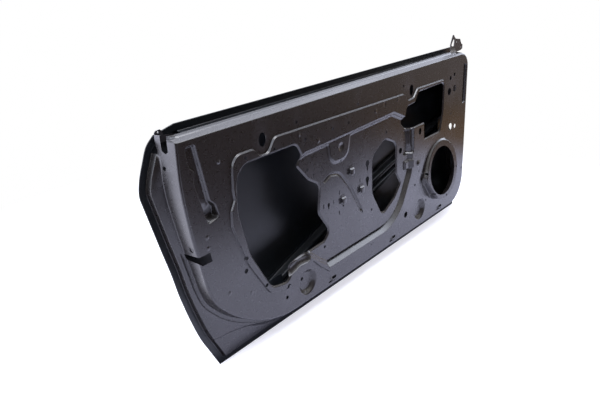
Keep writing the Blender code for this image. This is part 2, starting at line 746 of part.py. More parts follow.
def build_beam(finish):
    """The side impact beam: a double-ribbed strip behind the skin, and its two brackets."""
    half = BEAM_WIDTH / 2
    ribs = ((1.0, 0), (0.8, 0), (0.66, 1), (0.27, 1), (0.13, 0.3))
    profile = [(-half * out, rise) for out, rise in ribs]
    profile += [(half * out, rise) for out, rise in ribs[::-1]]
    left, right = (scaled((x, 0))[0] for x in (290, 1258))
    stations = np.linspace(left, right, 13)
    rows = []
    for x in stations:
        middle = beam_line(x)
        rows.append(
            [
                (x, beam_foot(x, middle + up) - BEAM_DEPTH * rise, middle + up)
                for up, rise in profile
            ]
        )
    sheet("side_impact_beam", rows, finish, BEAM_SHEET, (0, -1, 0))
    crest = beam_foot(right, beam_line(right)) - BEAM_DEPTH
    middle = beam_line(right)
    rows = []
    for up in (-36, -12, 12, 36):
        z = middle + up
        end = wall_x("hinge", z, 70, 0) + 9
        under = max(panel_at(end - 4, z), panel_at(end, z)) + PANEL_SHEET + SEAT_GAP + 0.3
        front = crest - BEAM_SHEET - 3 * SEAT_GAP
        rows.append(
            [
                (right - 34, front - 0.5, z), (right + 2, front, z),
                (wall_x("hinge", z, front, 8), front + 2, z),
                (wall_x("hinge", z, 70, 3.5), under - 4, z), (end - 6, under, z), (end, under, z),
            ]
        )
    sheet("beam_front_bracket", rows, finish, BEAM_SHEET, (0, -1, 0))
    crest = beam_foot(left, beam_line(left)) - BEAM_DEPTH
    rest = PANEL_SHEET + 2 * SEAT_GAP
    rows = []
    for z in (-424, -448, -470):
        z = z * FACE_HEIGHT / DRAWN_HEIGHT
        front = crest - BEAM_SHEET - 3 * SEAT_GAP
        rows.append(
            [
                (left - 100, rest, z), (left - 62, rest, z), (left - 30, front - 2, z),
                (left - 4, front - 1, z), (left + 30, front, z),
            ]
        )
    sheet("beam_rear_bracket", rows, finish, BEAM_SHEET, (0, -1, 0))


def build_hinge_end(finish, steel):
    """The doublers inside the hinge wall, with the nut plates and the check strap plate."""
    share = FACE_HEIGHT / DRAWN_HEIGHT
    outer = 1.5 + 2 * SEAT_GAP
    for name, top, bottom in (("upper", -64, -238), ("lower", -302, -420)):
        rows = []
        for z in np.linspace(top * share, bottom * share, 4):
            deep = [(wall_x("hinge", z, y, 2 * SEAT_GAP), y, z) for y in (13, 50)]
            rows.append([(deep[0][0] - 34, 8.6, z), (deep[0][0] - 4, 8.6, z)] + deep)
        sheet(name + "_hinge_reinforcement", rows, finish, 1.5, (1, -1, 0))
    deep, tall, thick = HINGE_PLATE
    for name, z in (("upper", HINGE_UPPER_Z), ("lower", HINGE_LOWER_Z)):
        slab(name + "_hinge_nut_plate", z * share, HINGE_Y, deep * 0.6, tall, thick, outer, steel)
    slab("check_strap_plate", CHECK_Z * share, HINGE_Y, 26, 56, 3, outer, steel)


def slab(name, z, y, deep, tall, thick, outer, finish):
    """A plate with chamfered corners that stands inside the hinge wall."""
    half, up, cut = deep / 2, tall / 2, 4
    ring = [
        (-half + cut, -up), (half - cut, -up), (half, -up + cut), (half, up - cut),
        (half - cut, up), (-half + cut, up), (-half, up - cut), (-half, -up + cut),
    ]
    hole = 0.2 * deep
    holes = []
    for side in (-1, 1):
        turns = np.arange(10) * 2 * math.pi / 10
        centre = np.array((0, side * 0.27 * tall))
        holes.append(centre + hole * np.stack((np.cos(turns), np.sin(turns)), 1))

    def place(u, v):
        return wall_x("hinge", z + v, y + u, 1.5 * outer - 0.5), y + u, z + v

    plate(name, ring, holes, place, finish, thick, (1, -1, 0))


def build_latch_end(finish):
    """The doubler inside the latch wall and the one round the pull handle."""
    share = FACE_HEIGHT / DRAWN_HEIGHT
    rows = []
    for z in np.linspace(-120 * share, -245 * share, 5):
        edge = on_wall("latch", z, 10)[0]
        foot = float(lip_depth(np.array([(edge, z)]))[0]) - FLANGE_DROP - 5
        near, far = (wall_x("latch", z, y, 2 * SEAT_GAP) for y in (10, foot - 3))
        rows.append([(near, 10, z), (far, foot - 3, z), (far + 3, foot, z), (far + 27, foot, z)])
    sheet("latch_reinforcement", rows, finish, 1.5, (-1, 1, 0))
    outline, hole = handle_rings()

    def place(u, v):
        return u, skin_at(u, v) - SKIN_SHEET - 1.0 - SEAT_GAP, v

    plate("handle_reinforcement", outline, [hole], place, finish, 1.0, (0, -1, 0))


def build_brackets(finish, steel):
    """The mirror's bracket, the lug at the latch end, the glass guide and the cage nuts."""
    share = np.array((FACE_LENGTH / DRAWN_LENGTH, FACE_HEIGHT / DRAWN_HEIGHT))
    outline = [
        (1200, -38), (1240, -38), (1240, -21), (1240, -2), (1250, 2), (1278, 4), (1291, 8),
        (1291, 22), (1281, 25), (1271, 41), (1237, 46), (1229, 52), (1221, 60), (1216, 58),
        (1200, 30), (1200, -2), (1200, -21),
    ]
    window = [(1207, 25), (1226, 22), (1229, 42), (1223, 47), (1209, 33)]
    level = BELT_LIP + PANEL_SHEET + 2 * SEAT_GAP

    back = PANEL_SHEET + 1.5 * SEAT_GAP

    def folded(u, v):
        shelf = min(max((-2 * share[1] - v) / (19 * share[1]), 0), 1)
        lower = min(v + 21 * share[1], 0)
        return u, level + (back - level) * shelf, max(v, -2 * share[1]) - 5 * shelf + lower

    folds = [np.array([(1190, v), (1250, v)]) * share for v in (-2, -21)]
    plate("mirror_bracket", np.array(outline) * share, [np.array(window) * share], folded,
          finish, 2.0, (0, -1, 0), folds)
    x, z = HEM_TOP[-1]
    outline = [
        (x - 52, -14), (x + 2, -14), (x + 2, -5), (x - 30, 0), (x - 33, z - 2),
        (x - 38, z + 1), (x - 48, z), (x - 52, z - 5),
    ]
    hole = (x - 42, z - 5) + 3.2 * np.stack(
        (np.cos(np.arange(8) * math.pi / 4), np.sin(np.arange(8) * math.pi / 4)), 1
    )

    def lug(u, v):
        return u, lip_depth(HEM_TOP[-1:])[0] - 1.6 - 1.5 * SEAT_GAP, v

    plate("rear_belt_lug", np.array(outline), [hole], lug, finish, 1.6, (0, -1, 0))
    rows = []
    for z in np.linspace(-46, -212, 3) * share[1]:
        x = scaled((1214 - 0.06 * z, 0))[0]
        rows.append([(x - 15, back, z), (x, back, z), (x, 46, z), (x + 14, 46, z)])
    sheet("front_glass_guide", rows, finish, 1.2, (0, -1, 0))
    for number, (x, z) in enumerate(((564, -214), (523, -284), (612, -280)), 1):
        x, z = scaled((x, z))
        level = panel_at(x, z) - SEAT_GAP - 1.0
        rows = []
        for side in (-9, 9):
            rows.append(
                [
                    (x + side, level, z + 13), (x + side, level, z + 8),
                    (x + side, level - 6, z + 4), (x + side, level - 6, z - 10),
                    (x + side, level - 3, z - 12),
                ]
            )
        sheet(f"cage_nut_{number}", rows, steel, 1.0, (0, -1, 0))


def hinge_face():
    """The middle of the upper hinge's seat on the hinge wall: the row's origin."""
    z = HINGE_UPPER_Z * FACE_HEIGHT / DRAWN_HEIGHT
    return on_wall("hinge", z, HINGE_Y)[0], HINGE_Y, z


def main():
    panel_paint = material("e_coated_panel", (0.09, 0.085, 0.10), 0.38, 0.3)
    skin_paint = material("black_e_coat", (0.02, 0.024, 0.028), 0.35, 0.2)
    steel = material("zinc_steel", (0.45, 0.45, 0.46), 0.35, 1.0)
    build_inner_panel(panel_paint)
    build_outer_skin(skin_paint)
    build_belt_reinforcements(skin_paint)
    build_beam(skin_paint)
    build_hinge_end(panel_paint, steel)
    build_latch_end(panel_paint)
    build_brackets(panel_paint, steel)


for old in list(bpy.data.objects):
    bpy.data.objects.remove(old, do_unlink=True)
parts = bpy.data.collections.new("door_shell")
cutters = bpy.data.collections.new("cutters")
bpy.context.scene.collection.children.link(parts)
bpy.context.scene.collection.children.link(cutters)
frame = bpy.data.objects.new("door_frame", None)
frame.location = -Vector(hinge_face()) * MM
parts.objects.link(frame)
main()
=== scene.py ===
# %% [markdown]
# A bare front door of a two-door car, as it leaves the paint dip: a deep-drawn inner panel
# whose edge is held in the folded hem of the outer skin, with a beam, belt strips and hinge
# plates between them. It has no glass, lock or trim yet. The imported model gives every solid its
# place, and this script draws each pressing again with fine bends and gives it its paint.

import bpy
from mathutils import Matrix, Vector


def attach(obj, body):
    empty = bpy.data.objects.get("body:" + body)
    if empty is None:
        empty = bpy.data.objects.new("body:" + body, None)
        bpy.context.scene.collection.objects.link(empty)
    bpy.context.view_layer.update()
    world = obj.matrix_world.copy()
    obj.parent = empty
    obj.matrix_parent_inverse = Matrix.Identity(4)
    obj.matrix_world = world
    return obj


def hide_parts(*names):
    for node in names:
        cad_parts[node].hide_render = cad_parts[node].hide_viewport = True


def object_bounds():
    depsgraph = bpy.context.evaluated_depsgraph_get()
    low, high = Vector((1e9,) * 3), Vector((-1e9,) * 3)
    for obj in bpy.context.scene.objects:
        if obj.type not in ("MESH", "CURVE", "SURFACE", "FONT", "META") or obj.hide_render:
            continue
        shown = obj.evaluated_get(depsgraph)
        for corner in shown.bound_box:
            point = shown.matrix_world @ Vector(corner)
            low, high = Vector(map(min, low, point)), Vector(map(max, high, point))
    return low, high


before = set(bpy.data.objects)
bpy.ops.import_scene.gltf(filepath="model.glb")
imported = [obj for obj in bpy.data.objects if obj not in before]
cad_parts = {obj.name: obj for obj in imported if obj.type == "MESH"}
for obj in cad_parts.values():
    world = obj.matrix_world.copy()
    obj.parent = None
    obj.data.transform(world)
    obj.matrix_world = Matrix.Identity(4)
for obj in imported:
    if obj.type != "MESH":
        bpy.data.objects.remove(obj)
cad_box = [[float(value) for value in corner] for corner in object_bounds()]

import math

import bpy
import numpy as np
from mathutils import Matrix, Vector
from mathutils.geometry import delaunay_2d_cdt

print("nodes:", len(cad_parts), "box:", cad_box)

# %% [markdown]
# The press shop draws a door from its own corner, in millimetres. Here (0, 0) is the upper latch
# corner of the inner panel's main face, X runs to the hinges, Z up, and depth runs away from the
# cabin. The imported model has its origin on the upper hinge, so every point is moved by ORIGIN.

# %% Sizes of the real pressings, in millimetres
MM = 0.001
ORIGIN = np.array((1305.9, 36.0, -110.0))
SHEET = 0.8
SEAM_GAP = 0.4
SEAT_GAP = 0.3
EDGE_RADIUS = 6.0
ROLL_INSET = 5.18
ROLL_REACH = 0.9
WALL_SLOPE = 6.0
FLANGE_DROP = 18.0
STEP_DROP = 12.0
STEP_WIDTH = 3.5
BELT_START = -7.0
BELT_ROLL = 3.0
BELT_LEAN = math.radians(65)
BELT_RISE = 7.0
BELT_LIP = 19.0
STRIP_LEAN = math.radians(40)
SLOT_OUTER = 38.0
BRACKET_X = 1196.0
HEM_WIDTH = 16.0
FOLD_THICKNESS = 3 * SHEET + 2 * SEAM_GAP
SKIN_BULGE = 32.0
SPEAKER = (1102.0, -364.0)
SPEAKER_RADIUS = 81.0
PAD_MARGIN = 23.0
# The face and the hem are drawn on past the belt up to this height, where no sheet reaches
SKY = 200.0
FLOOR = float(cad_box[0][2])
print("floor at", round(FLOOR, 4), "m, hem", round(FOLD_THICKNESS, 2), "mm thick")

# %% [markdown]
# Stamped outlines are straight runs joined by arcs, or fair curves through a few points. Both are
# written as short lists of places, and these helpers turn them into fine polylines. Curve objects
# could draw them too, but plain arrays are easy to offset, to measure and to cut a sheet with.


# %% Outlines from corners and from curves
def rounded(corners, closed=True, turn=math.radians(9)):
    """An outline through corners (x, z, radius), with an arc at each corner."""
    places = np.array([corner[:2] for corner in corners], float)
    points = []
    for i, here in enumerate(places):
        radius = corners[i][2]
        if radius <= 0 or (not closed and i in (0, len(corners) - 1)):
            points.append(here)
            continue
        back, ahead = places[i - 1] - here, places[(i + 1) % len(places)] - here
        room = 0.49 * min(np.linalg.norm(back), np.linalg.norm(ahead))
        back, ahead = back / np.linalg.norm(back), ahead / np.linalg.norm(ahead)
        corner = math.acos(max(-1.0, min(1.0, float(back @ ahead))))
        bend = math.pi - corner
        if bend < 0.03:
            points.append(here)
            continue
        reach = min(radius / math.tan(corner / 2), room)
        radius = reach * math.tan(corner / 2)
        middle = back + ahead
        centre = here + middle / np.linalg.norm(middle) * radius / math.sin(corner / 2)
        start, end = here + back * reach - centre, here + ahead * reach - centre
        steps = max(2, math.ceil(bend / turn))
        for step in range(steps + 1):
            share = step / steps
            first = math.sin((1 - share) * bend) / math.sin(bend)
            last = math.sin(share * bend) / math.sin(bend)
            points.append(centre + first * start + last * end)
    return np.array(points)


def smooth(knots, per=6):
    """An open curve through the knots, with this many steps between two of them."""
    knots = np.asarray(knots, float)
    ends = np.vstack((2 * knots[0] - knots[1], knots, 2 * knots[-1] - knots[-2]))
    points = []
    for i in range(1, len(ends) - 2):
        a, b, c, d = ends[i - 1 : i + 3]
        for step in range(per):
            t = step / per
            bend = (2 * a - 5 * b + 4 * c - d) * t * t + (3 * b - a - 3 * c + d) * t**3
            points.append(0.5 * (2 * b + (c - a) * t + bend))
    return np.array(points + [knots[-1]])


def divided(line, closed=False, step=22.0):
    """A line with points added where two of them are far apart."""
    ends = np.vstack((line, line[:1])) if closed else line
    points = []
    for start, end in zip(ends[:-1], ends[1:]):
        pieces = max(1, math.ceil(np.linalg.norm(end - start) / step))
        points += [start + (end - start) * i / pieces for i in range(pieces)]
    return np.array(points if closed else points + [ends[-1]])


def area(outline):
    """The signed area of a closed outline, positive where it runs anticlockwise."""
    x, z = outline.T
    return 0.5 * float((x * np.roll(z, -1) - np.roll(x, -1) * z).sum())


def sideways(outline):
    """At each point of a closed outline, the mitred step that moves it out by one."""
    ahead = np.roll(outline, -1, 0) - outline
    ahead = ahead / np.linalg.norm(ahead, axis=1)[:, None]
    normal = np.stack((ahead[:, 1], -ahead[:, 0]), 1) * (1 if area(outline) > 0 else -1)
    before = np.roll(normal, 1, 0)
    return (normal + before) / (1 + (normal * before).sum(1))[:, None]


def offset(outline, distance):
    """The outline moved out by a distance, which may differ from point to point."""
    return outline + np.asarray(distance, float).reshape(-1, 1) * sideways(outline)


def ring(x, z, radius, across=None, sides=0):
    """A round or oval hole, with more sides the bigger it is."""
    sides = sides or int(min(72, 14 + radius))
    turns = np.arange(sides) * 2 * math.pi / sides
    return np.array((x, z)) + np.stack(((across or radius) * np.cos(turns), radius * np.sin(turns)), 1)


def slot(x, z, width, height, radius=1.0):
    """A rectangular hole with rounded corners."""
    w, h = width / 2, height / 2
    corners = [(x - w, z - h, radius), (x + w, z - h, radius), (x + w, z + h, radius), (x - w, z + h, radius)]
    return rounded(corners, turn=math.radians(30))


def key_hole(x, z, radius, width, length):
    """A round hole with a narrow slot below it."""
    turns = np.radians(np.linspace(-55, 235, 19))
    top = radius * np.stack((np.cos(turns), np.sin(turns)), 1)
    foot = np.array(((-width / 2, -radius - length), (width / 2, -radius - length)))
    return np.array((x, z)) + np.vstack((top, foot))


# %% [markdown]
# A pressing is a height field: each place on the sheet has one depth. The depth of a form depends
# on how far the place lies inside that form's outline, so the key helper measures that distance,
# and the others turn it into a soft shoulder such as a press tool leaves. A subdivided cage could
# be pulled into the same forms, but its shoulders would swell and pinch along a free outline.


# %% Distances and soft shoulders
def inside(points, outline, far=16.0, closed=True):
    """How far each point lies inside an outline, or its distance from an open line."""
    found = np.full(len(points), float(-far if closed else far))
    near = ((points > outline.min(0) - far) & (points < outline.max(0) + far)).all(1)
    near = np.flatnonzero(near)
    a = outline if closed else outline[:-1]
    b = np.roll(outline, -1, 0) if closed else outline[1:]
    (span_x, span_z), (a_x, a_z) = (b - a).T, a.T
    length = np.maximum(span_x**2 + span_z**2, 1e-12)
    rise = np.where(span_z == 0, 1e-9, span_z)
    for some in np.array_split(near, len(near) // 4000 + 1):
        if not len(some):
            continue
        x, z = points[some, :1], points[some, 1:]
        off_x, off_z = x - a_x, z - a_z
        share = np.clip((off_x * span_x + off_z * span_z) / length, 0, 1)
        away = np.sqrt(((off_x - share * span_x) ** 2 + (off_z - share * span_z) ** 2).min(1))
        if closed:
            crossed = ((a_z > z) != (b[:, 1] > z)) & (off_x < off_z * span_x / rise)
            away = np.where(crossed.sum(1) % 2 == 1, away, -away)
        found[some] = away
    return found


def swell(distance, width):
    """A soft rise from 0 to 1 over a width."""
    share = np.clip(distance / width, 0, 1)
    return share * share * (3 - 2 * share)


def soft_least(a, b, reach):
    """The lesser of two depths, with a fillet where they meet."""
    share = np.clip(0.5 + 0.5 * (b - a) / reach, 0, 1)
    return b * (1 - share) + a * share - reach * share * (1 - share)


# %% [markdown]
# The outlines come next. The main face is bounded by a long curve at the latch end and by round
# corners at the hinge end. The hem is the outer edge of the skin, and shows how far the door's
# own edge stands outside that face.

# %% The main face and the hem
LATCH_KNOTS = [
    (-3, 0), (-2, -100), (12, -200), (25, -260), (34, -300), (44, -340), (60, -378),
    (85, -408), (120, -440), (165, -470), (225, -500), (285, -517), (330, -521),
]
LATCH_EDGE = smooth(LATCH_KNOTS, 8)
HINGE_EDGE = rounded(
    [
        (700, -521, 0), (1300, -521, 95), (1300, -340, 0), (1300, -200, 0), (1300, -90, 0),
        (1300, -20, 60), (1240, 6, 20), (1236, SKY, 0),
    ],
    closed=False,
    turn=math.radians(5),
)
FACE = np.vstack((LATCH_EDGE, HINGE_EDGE, [(LATCH_EDGE[0, 0], SKY)]))
HEM_LATCH = np.array(
    [
        (-6, 4), (-26, -15), (-40, -45), (-52, -75), (-58, -105), (-53, -132),
        (-43, -175), (-30, -230), (-16, -285), (-4, -338), (10, -385), (26, -431),
        (45, -477), (70, -523), (95, -569),
    ],
    float,
)
HEM_HINGE = np.array(
    [(1331, -569), (1340, -470), (1346, -360), (1348, -250), (1346, -140), (1340, -40), (1328, 10)],
    float,
)
HEM_TOP = np.array([(1000, 11.5), (660, 13), (340, 14.5), (48, 16)])
HEM = divided(np.vstack((smooth(HEM_LATCH, 5), smooth(HEM_HINGE, 4), HEM_TOP)), closed=True)


def nearest(line, place):
    """The index of the point of a line that is nearest a place."""
    return int(np.linalg.norm(line - place, axis=1).argmin())


SIDES = slice(nearest(HEM, (-28, -19)), nearest(HEM, (1340, -40)) + 1)
HEM_OPEN = np.vstack((HEM[SIDES], [(1328, SKY), (-28, SKY)]))
# The depth of the hem: by height at the latch end, and by a formula at the hinge end
LATCH_HEM = np.array(((-569, 44), (-500, 42), (-400, 40.5), (-300, 42), (-200, 49), (-90, 58), (16, 60)))
HEM_FOOT = -569.0
HEM_HEIGHT = 585.0
HINGE_HEM_FOOT = 46.0
HINGE_HEM_LEAN = 16.0
HINGE_HEM_BULGE = 31.0


def skin_depth(points):
    """The outer face of the skin: a fair bulge over the depth of the hem all round."""
    x, z = points.T
    height = np.clip((z - HEM_FOOT) / HEM_HEIGHT, 0, 1)
    latch = sum(np.interp(z + nudge, *LATCH_HEM.T) for nudge in (-30, -15, 0, 15, 30)) / 5
    rise = 4 * height * (1 - height)
    hinge = HINGE_HEM_FOOT + HINGE_HEM_LEAN * height + HINGE_HEM_BULGE * rise
    left = np.interp(z, HEM_LATCH[::-1, 1], HEM_LATCH[::-1, 0])
    right = np.interp(z, HEM_HINGE[:, 1], HEM_HINGE[:, 0])
    along = np.clip((x - left) / (right - left), 0, 1)
    depth = latch + (hinge - latch) * along + SKIN_BULGE * 4 * along * (1 - along) * rise
    return depth + FOLD_THICKNESS


def lip_depth(points):
    """The inner face of the hem, which the eye sees from the cabin."""
    return skin_depth(points) - FOLD_THICKNESS


print("hem points:", len(HEM), "face points:", len(FACE))

# %% [markdown]
# The big openings let a hand in to the lock, the window regulator and the speaker. The flat strip
# round them takes the water shield, so it is pressed up by a few millimetres along one long line.
# Inside it the regulator's own panel is sunk in two narrow steps. Along its foot one steep ramp
# leads down instead, into the channel that the wiring harness lies in.

# %% Openings and pressed forms
REAR_OPENING = rounded(
    [
        (150, -93, 42), (352, -93, 24), (374, -130, 8), (358, -150, 9), (404, -198, 30),
        (448, -222, 24), (439, -298, 24), (486, -360, 18), (462, -382, 20), (316, -388, 14),
        (306, -428, 26), (240, -416, 34), (175, -306, 90), (146, -196, 80),
    ]
)
MIDDLE_OPENING = rounded(
    [
        (699, -215, 34), (765, -180, 30), (827, -206, 30), (831, -302, 14), (857, -338, 12),
        (822, -374, 30), (754, -407, 22), (699, -322, 50),
    ]
)
FRONT_OPENING = rounded(
    [
        (946, -76, 16), (1112, -75, 16), (1110, -172, 60), (1094, -230, 12), (992, -231, 4),
        (987, -177, 4), (916, -178, 20), (876, -172, 16), (852, -150, 8), (870, -132, 8),
        (876, -108, 14), (926, -104, 12),
    ]
)
SPEAKER_OPENING = ring(*SPEAKER, SPEAKER_RADIUS, sides=72)
ROLLED_OPENINGS = (REAR_OPENING, MIDDLE_OPENING, FRONT_OPENING)
SEAL_STEP = rounded(
    [
        (138, -66, 30), (208, -66, 22), (226, -87, 18), (254, -87, 18), (276, -56, 22),
        (858, -65, 15), (884, -89, 14), (916, -86, 14), (938, -63, 14), (1124, -65, 16),
        (1124, -240, 24), (1028, -246, 30), (905, -472, 18), (476, -479, 25), (434, -446, 10),
        (398, -412, 16), (350, -426, 24), (300, -446, 40), (232, -432, 36), (165, -330, 60),
        (123, -220, 50), (125, -184, 12), (137, -163, 6), (134, -140, 10),
    ]
)
REGULATOR_PANEL = rounded(
    [
        (338, -134, 0), (385, -119, 14), (590, -113, 300), (800, -106, 14), (868, -134, 10),
        (900, -170, 0), (916, -240, 0), (914, -316, 60), (830, -462, 230),
        (474, -461, 14), (430, -430, 24), (384, -394, 16), (330, -388, 0),
        (326, -260, 0),
    ]
)
REGULATOR_BAY = rounded(
    [(470, -90, 0), (476, -122, 10), (490, -188, 40), (576, -188, 40), (590, -122, 10), (596, -90, 0)]
)
SILL_GROOVE = rounded([(296, -405, 0), (346, -391, 40), (378, -394, 0)], closed=False)
HARNESS_SIDE = rounded(
    [(380, -461, 0), (830, -462, 230), (914, -316, 60), (916, -240, 0), (916, -100, 0), (380, -100, 0)]
)
HARNESS_CHANNEL = rounded([(868, -178, 4), (922, -180, 4), (924, -262, 10), (868, -258, 10)])
HARNESS_TIE = rounded([(872, -274, 5), (920, -276, 5), (920, -308, 5), (872, -306, 5)])
ARC_GROOVE = rounded(
    [(470, -219, 0), (497, -209, 20), (537, -217, 60), (585, -271, 80), (637, -351, 0)], closed=False
)
PULL_POCKET = rounded(
    [
        (15, -17, 9), (45, -16, 8), (72, -142, 6), (86, -155, 8), (95, -186, 8), (60, -194, 8),
        (44, -142, 20), (30, -94, 8), (36, -74, 8), (22, -60, 10),
    ]
)
EDGE_POCKET = rounded([(1264, -36, 6), (1289, -40, 6), (1288, -172, 6), (1262, -172, 6)])
CORNER_KNOTS = [
    (-60, -380), (10, -400), (38, -452), (60, -480), (85, -489), (130, -494), (200, -512), (280, -540),
]
CORNER_STEP = np.vstack((smooth(CORNER_KNOTS), [(280, -640), (-60, -640)]))
PAD_SHIFT = (5.0, 2.0)


def speaker_pad():
    """A round pad whose lower latch side is cut off straight."""
    radius = SPEAKER_RADIUS + PAD_MARGIN
    turns = np.radians(np.linspace(165, -120, 60))
    centre = np.array(SPEAKER) + PAD_SHIFT
    corner = centre + radius * np.array((-1.12, -0.12))
    return np.vstack((centre + radius * np.stack((np.cos(turns), np.sin(turns)), 1), [corner]))


SPEAKER_PAD = speaker_pad()

# Each shoulder: its outline, how deep it goes (towards the cabin is negative) and its width
SHOULDERS = (
    (SEAL_STEP, -5.0, 3.0), (EDGE_POCKET, 6.0, 5.0),
    (HARNESS_CHANNEL, 7.0, 6.0), (HARNESS_TIE, -5.0, 7.0),
)
print("shoulders:", len(SHOULDERS))

# %% Depths and widths of the pressed forms
POCKET_SHOULDER = 7.0
POCKET_TOP_DEPTH = 8.0
POCKET_FOOT_DEPTH = 17.0
POCKET_DEEPENS = (150.0, 178.0)
POCKET_FOOT = 194.0
POCKET_RAMP = 13.0
REGULATOR_DEPTH = 8.0
REGULATOR_STEP = 6.0
REGULATOR_LEDGE = 2.0
BAY_WIDTH = 12.0
HARNESS_DEPTH = 11.0
HARNESS_RAMP = 13.0
HARNESS_BED = 2.0
HARNESS_DROP = 5.0
HARNESS_START = 466.0
HARNESS_END = 232.0
HARNESS_FADE = 10.0
HARNESS_TOP_FADE = 14.0
SILL_HALF_WIDTH = 15.0
SILL_DEPTH = 9.0
ARC_HALF_WIDTH = 6.5
ARC_DEPTH = 4.0
DIMPLES = ((382, -466), (980, -465))
DIMPLE_RADIUS = 37.0
DIMPLE_DEPTH = 11.0
DIMPLE_SLOPE = 15.0
LIP_DEPTH = 3.5
LIP_INSET = 5.0
LIP_WIDTH = 5.5
PAD_HEIGHT = 3.0
PAD_TILT = 0.11
PAD_TURN = 0.03
PAD_SHOULDER = 8.0
CLIP_PLACES = (491, 809, 1121)
CLIP_SHOULDER = 4.0

# Small round bumps and dimples: place, radius and depth
BUMPS = (
    (103, -69, 6, -1.2), (53, -219, 6, -0.8), (53, -244, 6, -0.8), (103, -372, 7, -1.0),
    (1179, -188, 7, 0.8), (540, -146, 14, 3.0), (640, -118, 8, -1.0), (700, -84, 9, -0.9),
    (362, -72, 7, -0.8), (748, -76, 9, 0.9), (820, -76, 8, -0.8), (952, -301, 12, -5.0),
    (172, -402, 7, -0.8), (436, -104, 8, -0.8),
)
print("dimples:", len(DIMPLES), "bumps:", len(BUMPS))

# %% [markdown]
# The holes are for clips, screws, nuts and drains. Holes in the end walls are drawn on the same
# flat map, squeezed by the wall's slope, because the wall is part of the same height field. They
# are left out of the sheet as it is cut, so no Boolean has to follow.


# %% Holes of the inner panel
def wall_reach(depth):
    """How far outside the face's edge the end wall lies at a depth."""
    return ROLL_REACH + (depth - EDGE_RADIUS) / WALL_SLOPE


def on_wall(end, z, depth):
    """The place on the flat map where an end wall has this height and depth."""
    rim = LATCH_EDGE if end == "latch" else HINGE_EDGE
    order = np.argsort(rim[:, 1])
    x = np.interp(z, rim[order, 1], rim[order, 0])
    return x + (-1 if end == "latch" else 1) * wall_reach(depth), z


def wall_hole(end, z, depth, half_depth, half_height, sides=24):
    """An oval hole in an end wall."""
    turns = np.arange(sides) * 2 * math.pi / sides
    return np.array(
        [on_wall(end, z + half_height * math.sin(t), depth + half_depth * math.cos(t)) for t in turns]
    )


ROUND_HOLES = (
    (361, -42, 4), (621, -50, 4), (860, -44, 4), (179, -80, 4), (273, -84, 4), (385, -88, 4),
    (498, -88, 4), (568, -88, 4), (540, -183, 3), (399, -169, 4), (423, -189, 3),
    (770, -161, 4), (462, -399, 4), (692, -371, 4), (550, -312, 3), (301, -442, 7),
    (297, -472, 5), (220, -402, 5), (160, -308, 5), (160, -341, 6), (853, -236, 9),
    (958, -329, 3), (986, -364, 4), (934, -367, 4), (1286, -408, 4), (879, -449, 10),
    (688, -475, 5), (1168, -71, 7), (1196, -63, 6), (1163, -114, 12), (1202, -109, 11),
    (1181, -235, 12), (1216, -240, 7), (1171, -289, 3.5), (1006, -352, 3.5), (1044, -430, 3.5),
    (1117, -453, 3.5), (1197, -375, 3.5), (1021, -446, 3.5), (370, -456, 5), (952, -453, 5),
    (643, -360, 3.5),
)


def clip_recess(x):
    """The shallow recess round a trim clip's slots."""
    return slot(x + 2, -504.5, 26, 13)


def panel_holes():
    """All openings and holes of the inner panel."""
    holes = [*ROLLED_OPENINGS, SPEAKER_OPENING]
    holes += [ring(240, -55, 16, 12, 32), ring(907, -64, 17, 11, 32), ring(959, -200, 11, 8, 24)]
    holes += [key_hole(670, -226, 9, 5, 12), key_hole(670, -273, 9, 5, 12), key_hole(484, -288, 5, 3, 8)]
    for x, z in ((462, -287), (506, -287), (533, -270), (531, -326), (632, -265)):
        holes.append(slot(x, z, 3.5, 12))
    holes += [ring(*place) for place in ROUND_HOLES]
    for x in CLIP_PLACES:
        holes += [slot(x - 2, -509, 34, 5), slot(x + 5, -500, 22, 5)]
    holes += [wall_hole("hinge", -268, 49, 17, 17, 40), wall_hole("hinge", -200, 36, 12, 12, 4)]
    holes += [wall_hole("latch", -236, 12, 5, 7, 12), wall_hole("latch", -58, 34, 4, 5, 12)]
    holes.append(np.array([(57, -254), (62, -276), (33, -276), (19, -263), (15, -249), (26, -254)], float))
    x0, x1 = LATCH_EDGE[0, 0] - wall_reach(21), LATCH_EDGE[0, 0] - wall_reach(35)
    holes.append(np.array([(x0, 30), (x1, 30), (x1, -24), ((x0 + x1) / 2, -29), (x0, -24)]))
    return holes


print("holes of the inner panel:", len(panel_holes()))


# %% [markdown]
# Now the depth of the inner panel at any place. Its edge is rolled over a 6 mm radius into a
# steep wall, the wall runs into a flange, and the flange steps down into the hem. At the top the
# sheet folds back over the belt. Everything that is pressed into the face is added to that.


# %% Depth of the inner panel
STEP_INNER = HEM_WIDTH + 1.5
STEP_OUTER = STEP_INNER + STEP_WIDTH
STEEP = EDGE_RADIUS * math.sin(math.atan(WALL_SLOPE))
CORNER_DEPTH = 2.4
CORNER_WIDTH = 5.0
BEAD_HEIGHT = 1.5
BEAD_START = 8.0
BEAD_END = 14.0
BEAD_TOP = -250.0


def rolled_edge(outward):
    """A round edge that runs on into a steep wall."""
    past = np.maximum(outward + ROLL_INSET, 0)
    arc = EDGE_RADIUS - np.sqrt(EDGE_RADIUS**2 - np.minimum(past, STEEP) ** 2)
    return arc + WALL_SLOPE * np.maximum(past - STEEP, 0)


